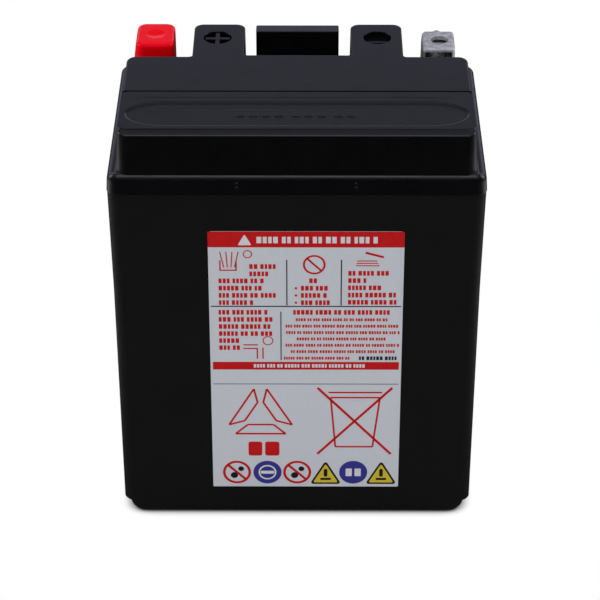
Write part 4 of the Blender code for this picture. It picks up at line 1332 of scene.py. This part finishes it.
def draw_small_figures(red):
    """Plain figures where the label has its small drawings."""
    red.bar(-28.2, 110.2, -21.9, 110.7)
    red.bar(-28.2, 110.2, -27.7, 114.6)
    red.bar(-22.4, 110.2, -21.9, 114.6)
    for i in range(4):
        foot = -26.6 + i * 1.3
        red.stroke((foot, 111.6), (foot + (i - 1.5) * 0.9, 118.2), 0.4)
    red.ring((-18.0, 117.2), 1.7, 0.4, 24)
    red.ring((6.0, 112.8), 4.1, 0.75)
    red.stroke((3.4, 115.4), (8.6, 110.2), 0.75)
    red.stroke((24.4, 117.9), (31.0, 116.0), 0.9)
    for i in range(3):
        red.bar(21.0 + i * 0.2, 112.2 + i * 1.0, 29.5 - i * 0.4, 112.6 + i * 1.0)
    red.ring((-10.9, 80.0), 2.0, 0.4, 24)
    red.bar(-20.0, 76.3, -14.6, 76.8)
    red.bar(-20.0, 77.9, -14.6, 78.4)
    red.bar(-15.1, 72.0, -14.6, 76.8)
    red.bar(-13.0, 72.0, -12.5, 77.0)


def draw_large_figures(red):
    """A triangle of three outlined bars, a plain box with a lid line, crossed out, and two blocks."""
    middle = Vector((-13.9, 46.2))
    for i in range(3):
        turn = Matrix.Rotation(2 * math.pi * i / 3, 2)
        corners = ((-9.4, -8.2), (9.4, -8.2), (4.8, -4.0), (-4.8, -4.0))
        red.loop([middle + turn @ Vector(corner) for corner in corners], 0.75)
    red.loop([(12.3, 54.6), (30.7, 54.6), (28.2, 32.0), (14.2, 32.0)], 0.7)
    red.stroke((11.5, 56.9), (31.5, 56.9), 0.7)
    red.stroke((7.4, 59.0), (35.2, 28.6), 1.0)
    red.stroke((35.2, 59.0), (7.4, 28.6), 1.0)
    red.bar(-18.6, 27.8, -13.4, 34.3, 0.8)
    red.bar(-12.3, 27.8, -6.9, 34.3, 0.8)


def draw_pictograms(red, black, blue, yellow, white, marks):
    """Two rings with a slash, two discs and two triangles, in a row at the foot of the label."""
    z = PICTOGRAM_Z
    reach = (PICTOGRAM - 0.6) / math.sqrt(2)
    for x in (-23.1, -0.2):
        red.ring((x, z), PICTOGRAM, 1.0)
        red.stroke((x - reach, z + reach), (x + reach, z - reach), 1.0)
        black.disc((x - 1.0, z - 1.4), 1.4, 20)
        black.disc((x + 1.6, z + 1.6), 1.1, 20)
    for x in (-11.5, 21.1):
        blue.disc((x, z), PICTOGRAM)
    white.ring((-11.5, z), 3.4, 0.6, 32)
    white.bar(-14.1, z - 0.7, -8.9, z + 0.7, 0.5)
    for x in (19.4, 22.8):
        white.bar(x - 1.2, z - 1.8, x + 1.2, z + 1.8, 0.3)
    for x in (10.6, 31.7):
        black.triangle((x, z), 6.0, 0.8)
        yellow.triangle((x, z - 0.4), 4.75, 0.4)
        marks.bar(x - 0.7, z - 2.0, x + 0.7, z + 1.6, 0.5)
        marks.bar(x - 2.0, z - 3.6, x + 2.0, z - 2.6, 0.3)


# ---- Studio ----------------------------------------------------------------------
FLOOR_SIZE = 12.0
FLOOR_DROP = 0.00002
SHADOW_REACH = 0.008
SHADOW_DARK = 0.16
SHADOW_LIGHT = 0.72
POOL_X = 0.27
POOL_Y = 0.02
POOL_RADIUS = 0.08
POOL_LIGHT = 2.8
AIM_HEIGHT = 0.08
CAMERA_TILT = 32.30  # degrees below the horizon
CAMERA_YAW = 0.15
CAMERA_PLACE = (0.0031, -0.78119, 0.56335)
LENS = 144.0
SENSOR = 36.0
EVEN_SKY = (0.26, 0.265, 0.29, 1.0)
SKY_BEHIND = ((0.0, 0.80), (0.34, 0.44), (0.48, 0.13), (0.60, 0.06), (0.75, 0.34), (1.0, 0.45))
SKY_AHEAD = ((0.0, 0.05), (0.30, 0.12), (0.60, 0.25), (1.0, 0.5))


def maths(tree, operation, *values):
    return add_node(tree, "Math", dict(enumerate(values)), operation=operation).outputs[0]


def glow(tree, kind, colour, strength=1.0):
    return add_node(tree, kind, {"Color": colour, "Strength": strength}).outputs[0]


def show(tree, output, seen, mirrored, soft):
    """Ends a node tree with one look for the camera, one for glossy surfaces and one for the rest."""
    path = add_node(tree, "LightPath").outputs
    unseen = add_node(tree, "MixShader", {0: path["Is Glossy Ray"], 1: soft, 2: mirrored}).outputs[0]
    final = add_node(tree, "MixShader", {0: path["Is Camera Ray"], 1: unseen, 2: seen}).outputs[0]
    tree.links.new(final, add_node(tree, output).inputs["Surface"])


def pools_of_light(tree):
    """The strength of a painted pool of light: 1 in the middle of a round pool at each side of the battery,
    fading outwards.
    """
    place = add_node(tree, "NewGeometry").outputs["Position"]
    parts = add_node(tree, "SeparateXYZ", {"Vector": place}).outputs
    off_x = maths(tree, "SUBTRACT", maths(tree, "ABSOLUTE", parts["X"]), POOL_X)
    off_y = maths(tree, "SUBTRACT", parts["Y"], POOL_Y)
    square = maths(tree, "MULTIPLY_ADD", off_y, off_y, maths(tree, "MULTIPLY", off_x, off_x))
    spread = maths(tree, "MULTIPLY_ADD", square, 1 / POOL_RADIUS ** 2, 1.0)
    return maths(tree, "POWER", spread, -1.5)


def make_floor():
    """A pale floor. The camera sees its glow white but for a narrow painted contact shadow, soft surfaces get
    its bounced light, and glossy ones mirror it dark but for a painted pool of light at each side."""
    bm = bmesh.new()
    bmesh.ops.create_grid(bm, x_segments=1, y_segments=1, size=FLOOR_SIZE / 2)
    floor = new_object(bm, "floor")
    floor.location.z = -FLOOR_DROP
    material = bpy.data.materials.new("floor")
    material.use_nodes = True
    material.cycles.emission_sampling = "NONE"
    tree = material.node_tree
    tree.nodes.clear()
    # Painted contact shadow: ambient occlusion near the battery darkens the glow that the camera sees.
    near = add_node(tree, "AmbientOcclusion", {"Distance": SHADOW_REACH}, samples=24).outputs["AO"]
    fade = {"Value": near, "From Min": SHADOW_DARK, "From Max": SHADOW_LIGHT}
    light = add_node(tree, "MapRange", fade, interpolation_type="SMOOTHSTEP").outputs["Result"]
    # Painted pools of light: the glow that glossy surfaces mirror is brighter in a round pool at each side.
    strength = between(tree, pools_of_light(tree), 0.0, 1.0, 0.0, POOL_LIGHT)
    mirrored = glow(tree, "Emission", (0.96, 0.97, 1.0, 1.0), strength)
    soft = add_node(tree, "BsdfDiffuse", {"Color": grey(0.9)}).outputs[0]
    show(tree, "OutputMaterial", glow(tree, "Emission", light), mirrored, soft)
    floor.data.materials.append(material)


def sky_ramp(tree, height, stops):
    """A grey sky whose brightness depends on the height of the direction, given as (height, brightness)."""
    node = add_node(tree, "ValToRGB", {"Fac": height})
    elements = node.color_ramp.elements
    while len(elements) < len(stops):
        elements.new(0.5)
    for element, (place, value) in zip(elements, stops):
        element.position = place
        element.color = (value * 0.91, value * 0.93, value * 1.20, 1.0)
    return node.outputs["Color"]


def make_world():
    """White behind everything the camera sees, an even sky for soft surfaces, and a studio wall for
    glossy ones: bright low down behind the battery, dim in front."""
    world = bpy.data.worlds.new("studio")
    bpy.context.scene.world = world
    world.use_nodes = True
    world.cycles.sampling_method = "NONE"
    tree = world.node_tree
    tree.nodes.clear()
    direction = add_node(tree, "TexCoord").outputs["Generated"]
    parts = add_node(tree, "SeparateXYZ", {"Vector": direction}).outputs
    behind = sky_ramp(tree, parts["Z"], SKY_BEHIND)
    ahead = sky_ramp(tree, parts["Z"], SKY_AHEAD)
    wall = glow(tree, "Background", blend_colours(tree, between(tree, parts["Y"], -0.2, 0.2), ahead, behind))
    even = glow(tree, "Background", EVEN_SKY)
    show(tree, "OutputWorld", glow(tree, "Background", grey(1.0)), wall, even)


def add_softbox(name, location, size, watts):
    """A rectangular area light that faces the battery's middle."""
    data = bpy.data.lights.new(name, "AREA")
    data.shape = "RECTANGLE"
    data.size, data.size_y = size
    data.energy = watts
    light = bpy.data.objects.new(name, data)
    light.location = location
    aim = Vector((0.0, 0.0, AIM_HEIGHT)) - light.location
    light.rotation_euler = aim.to_track_quat("-Z", "Y").to_euler()
    bpy.context.scene.collection.objects.link(light)
    return light


def make_studio():
    make_floor()
    make_world()
    overhead = add_softbox("overhead", (0.0, 0.05, 1.1), (1.8, 1.2), 7.0)
    overhead.visible_glossy = False
    add_softbox("front_key", (0.0, -1.3, 1.10), (1.3, 0.7), 4.8)
    add_softbox("left_box", (-1.1, 0.1, 0.45), (0.5, 0.7), 4.0)
    add_softbox("right_box", (1.1, 0.1, 0.45), (0.5, 0.7), 4.0)
    scene = bpy.context.scene
    scene.view_settings.view_transform = "Standard"
    scene.view_settings.look = "None"
    data = bpy.data.cameras.new("camera")
    data.lens = LENS
    data.sensor_width = SENSOR
    data.clip_start = 0.05
    camera = bpy.data.objects.new("camera", data)
    camera.location = CAMERA_PLACE
    camera.rotation_euler = (math.radians(90.0 - CAMERA_TILT), 0.0, math.radians(CAMERA_YAW))
    scene.collection.objects.link(camera)
    scene.camera = camera


def paint_cad_nodes():
    """Pieces that keep their CAD shape take the material of their slot."""
    for name, node in frame["nodes"].items():
        if node.hide_render:
            continue
        node.data.materials.clear()
        node.data.materials.append(MATERIALS[SLOTS[name]])


def build():
    make_case()
    make_lid()
    make_strip()
    make_valve_caps()
    for seed, pole in enumerate(("positive", "negative")):
        make_terminal(pole, seed + 1)
        make_bolt(pole)
        make_nut(pole)
    make_terminal_cap()
    make_film()
    make_print()
    paint_cad_nodes()
    make_studio()


build()
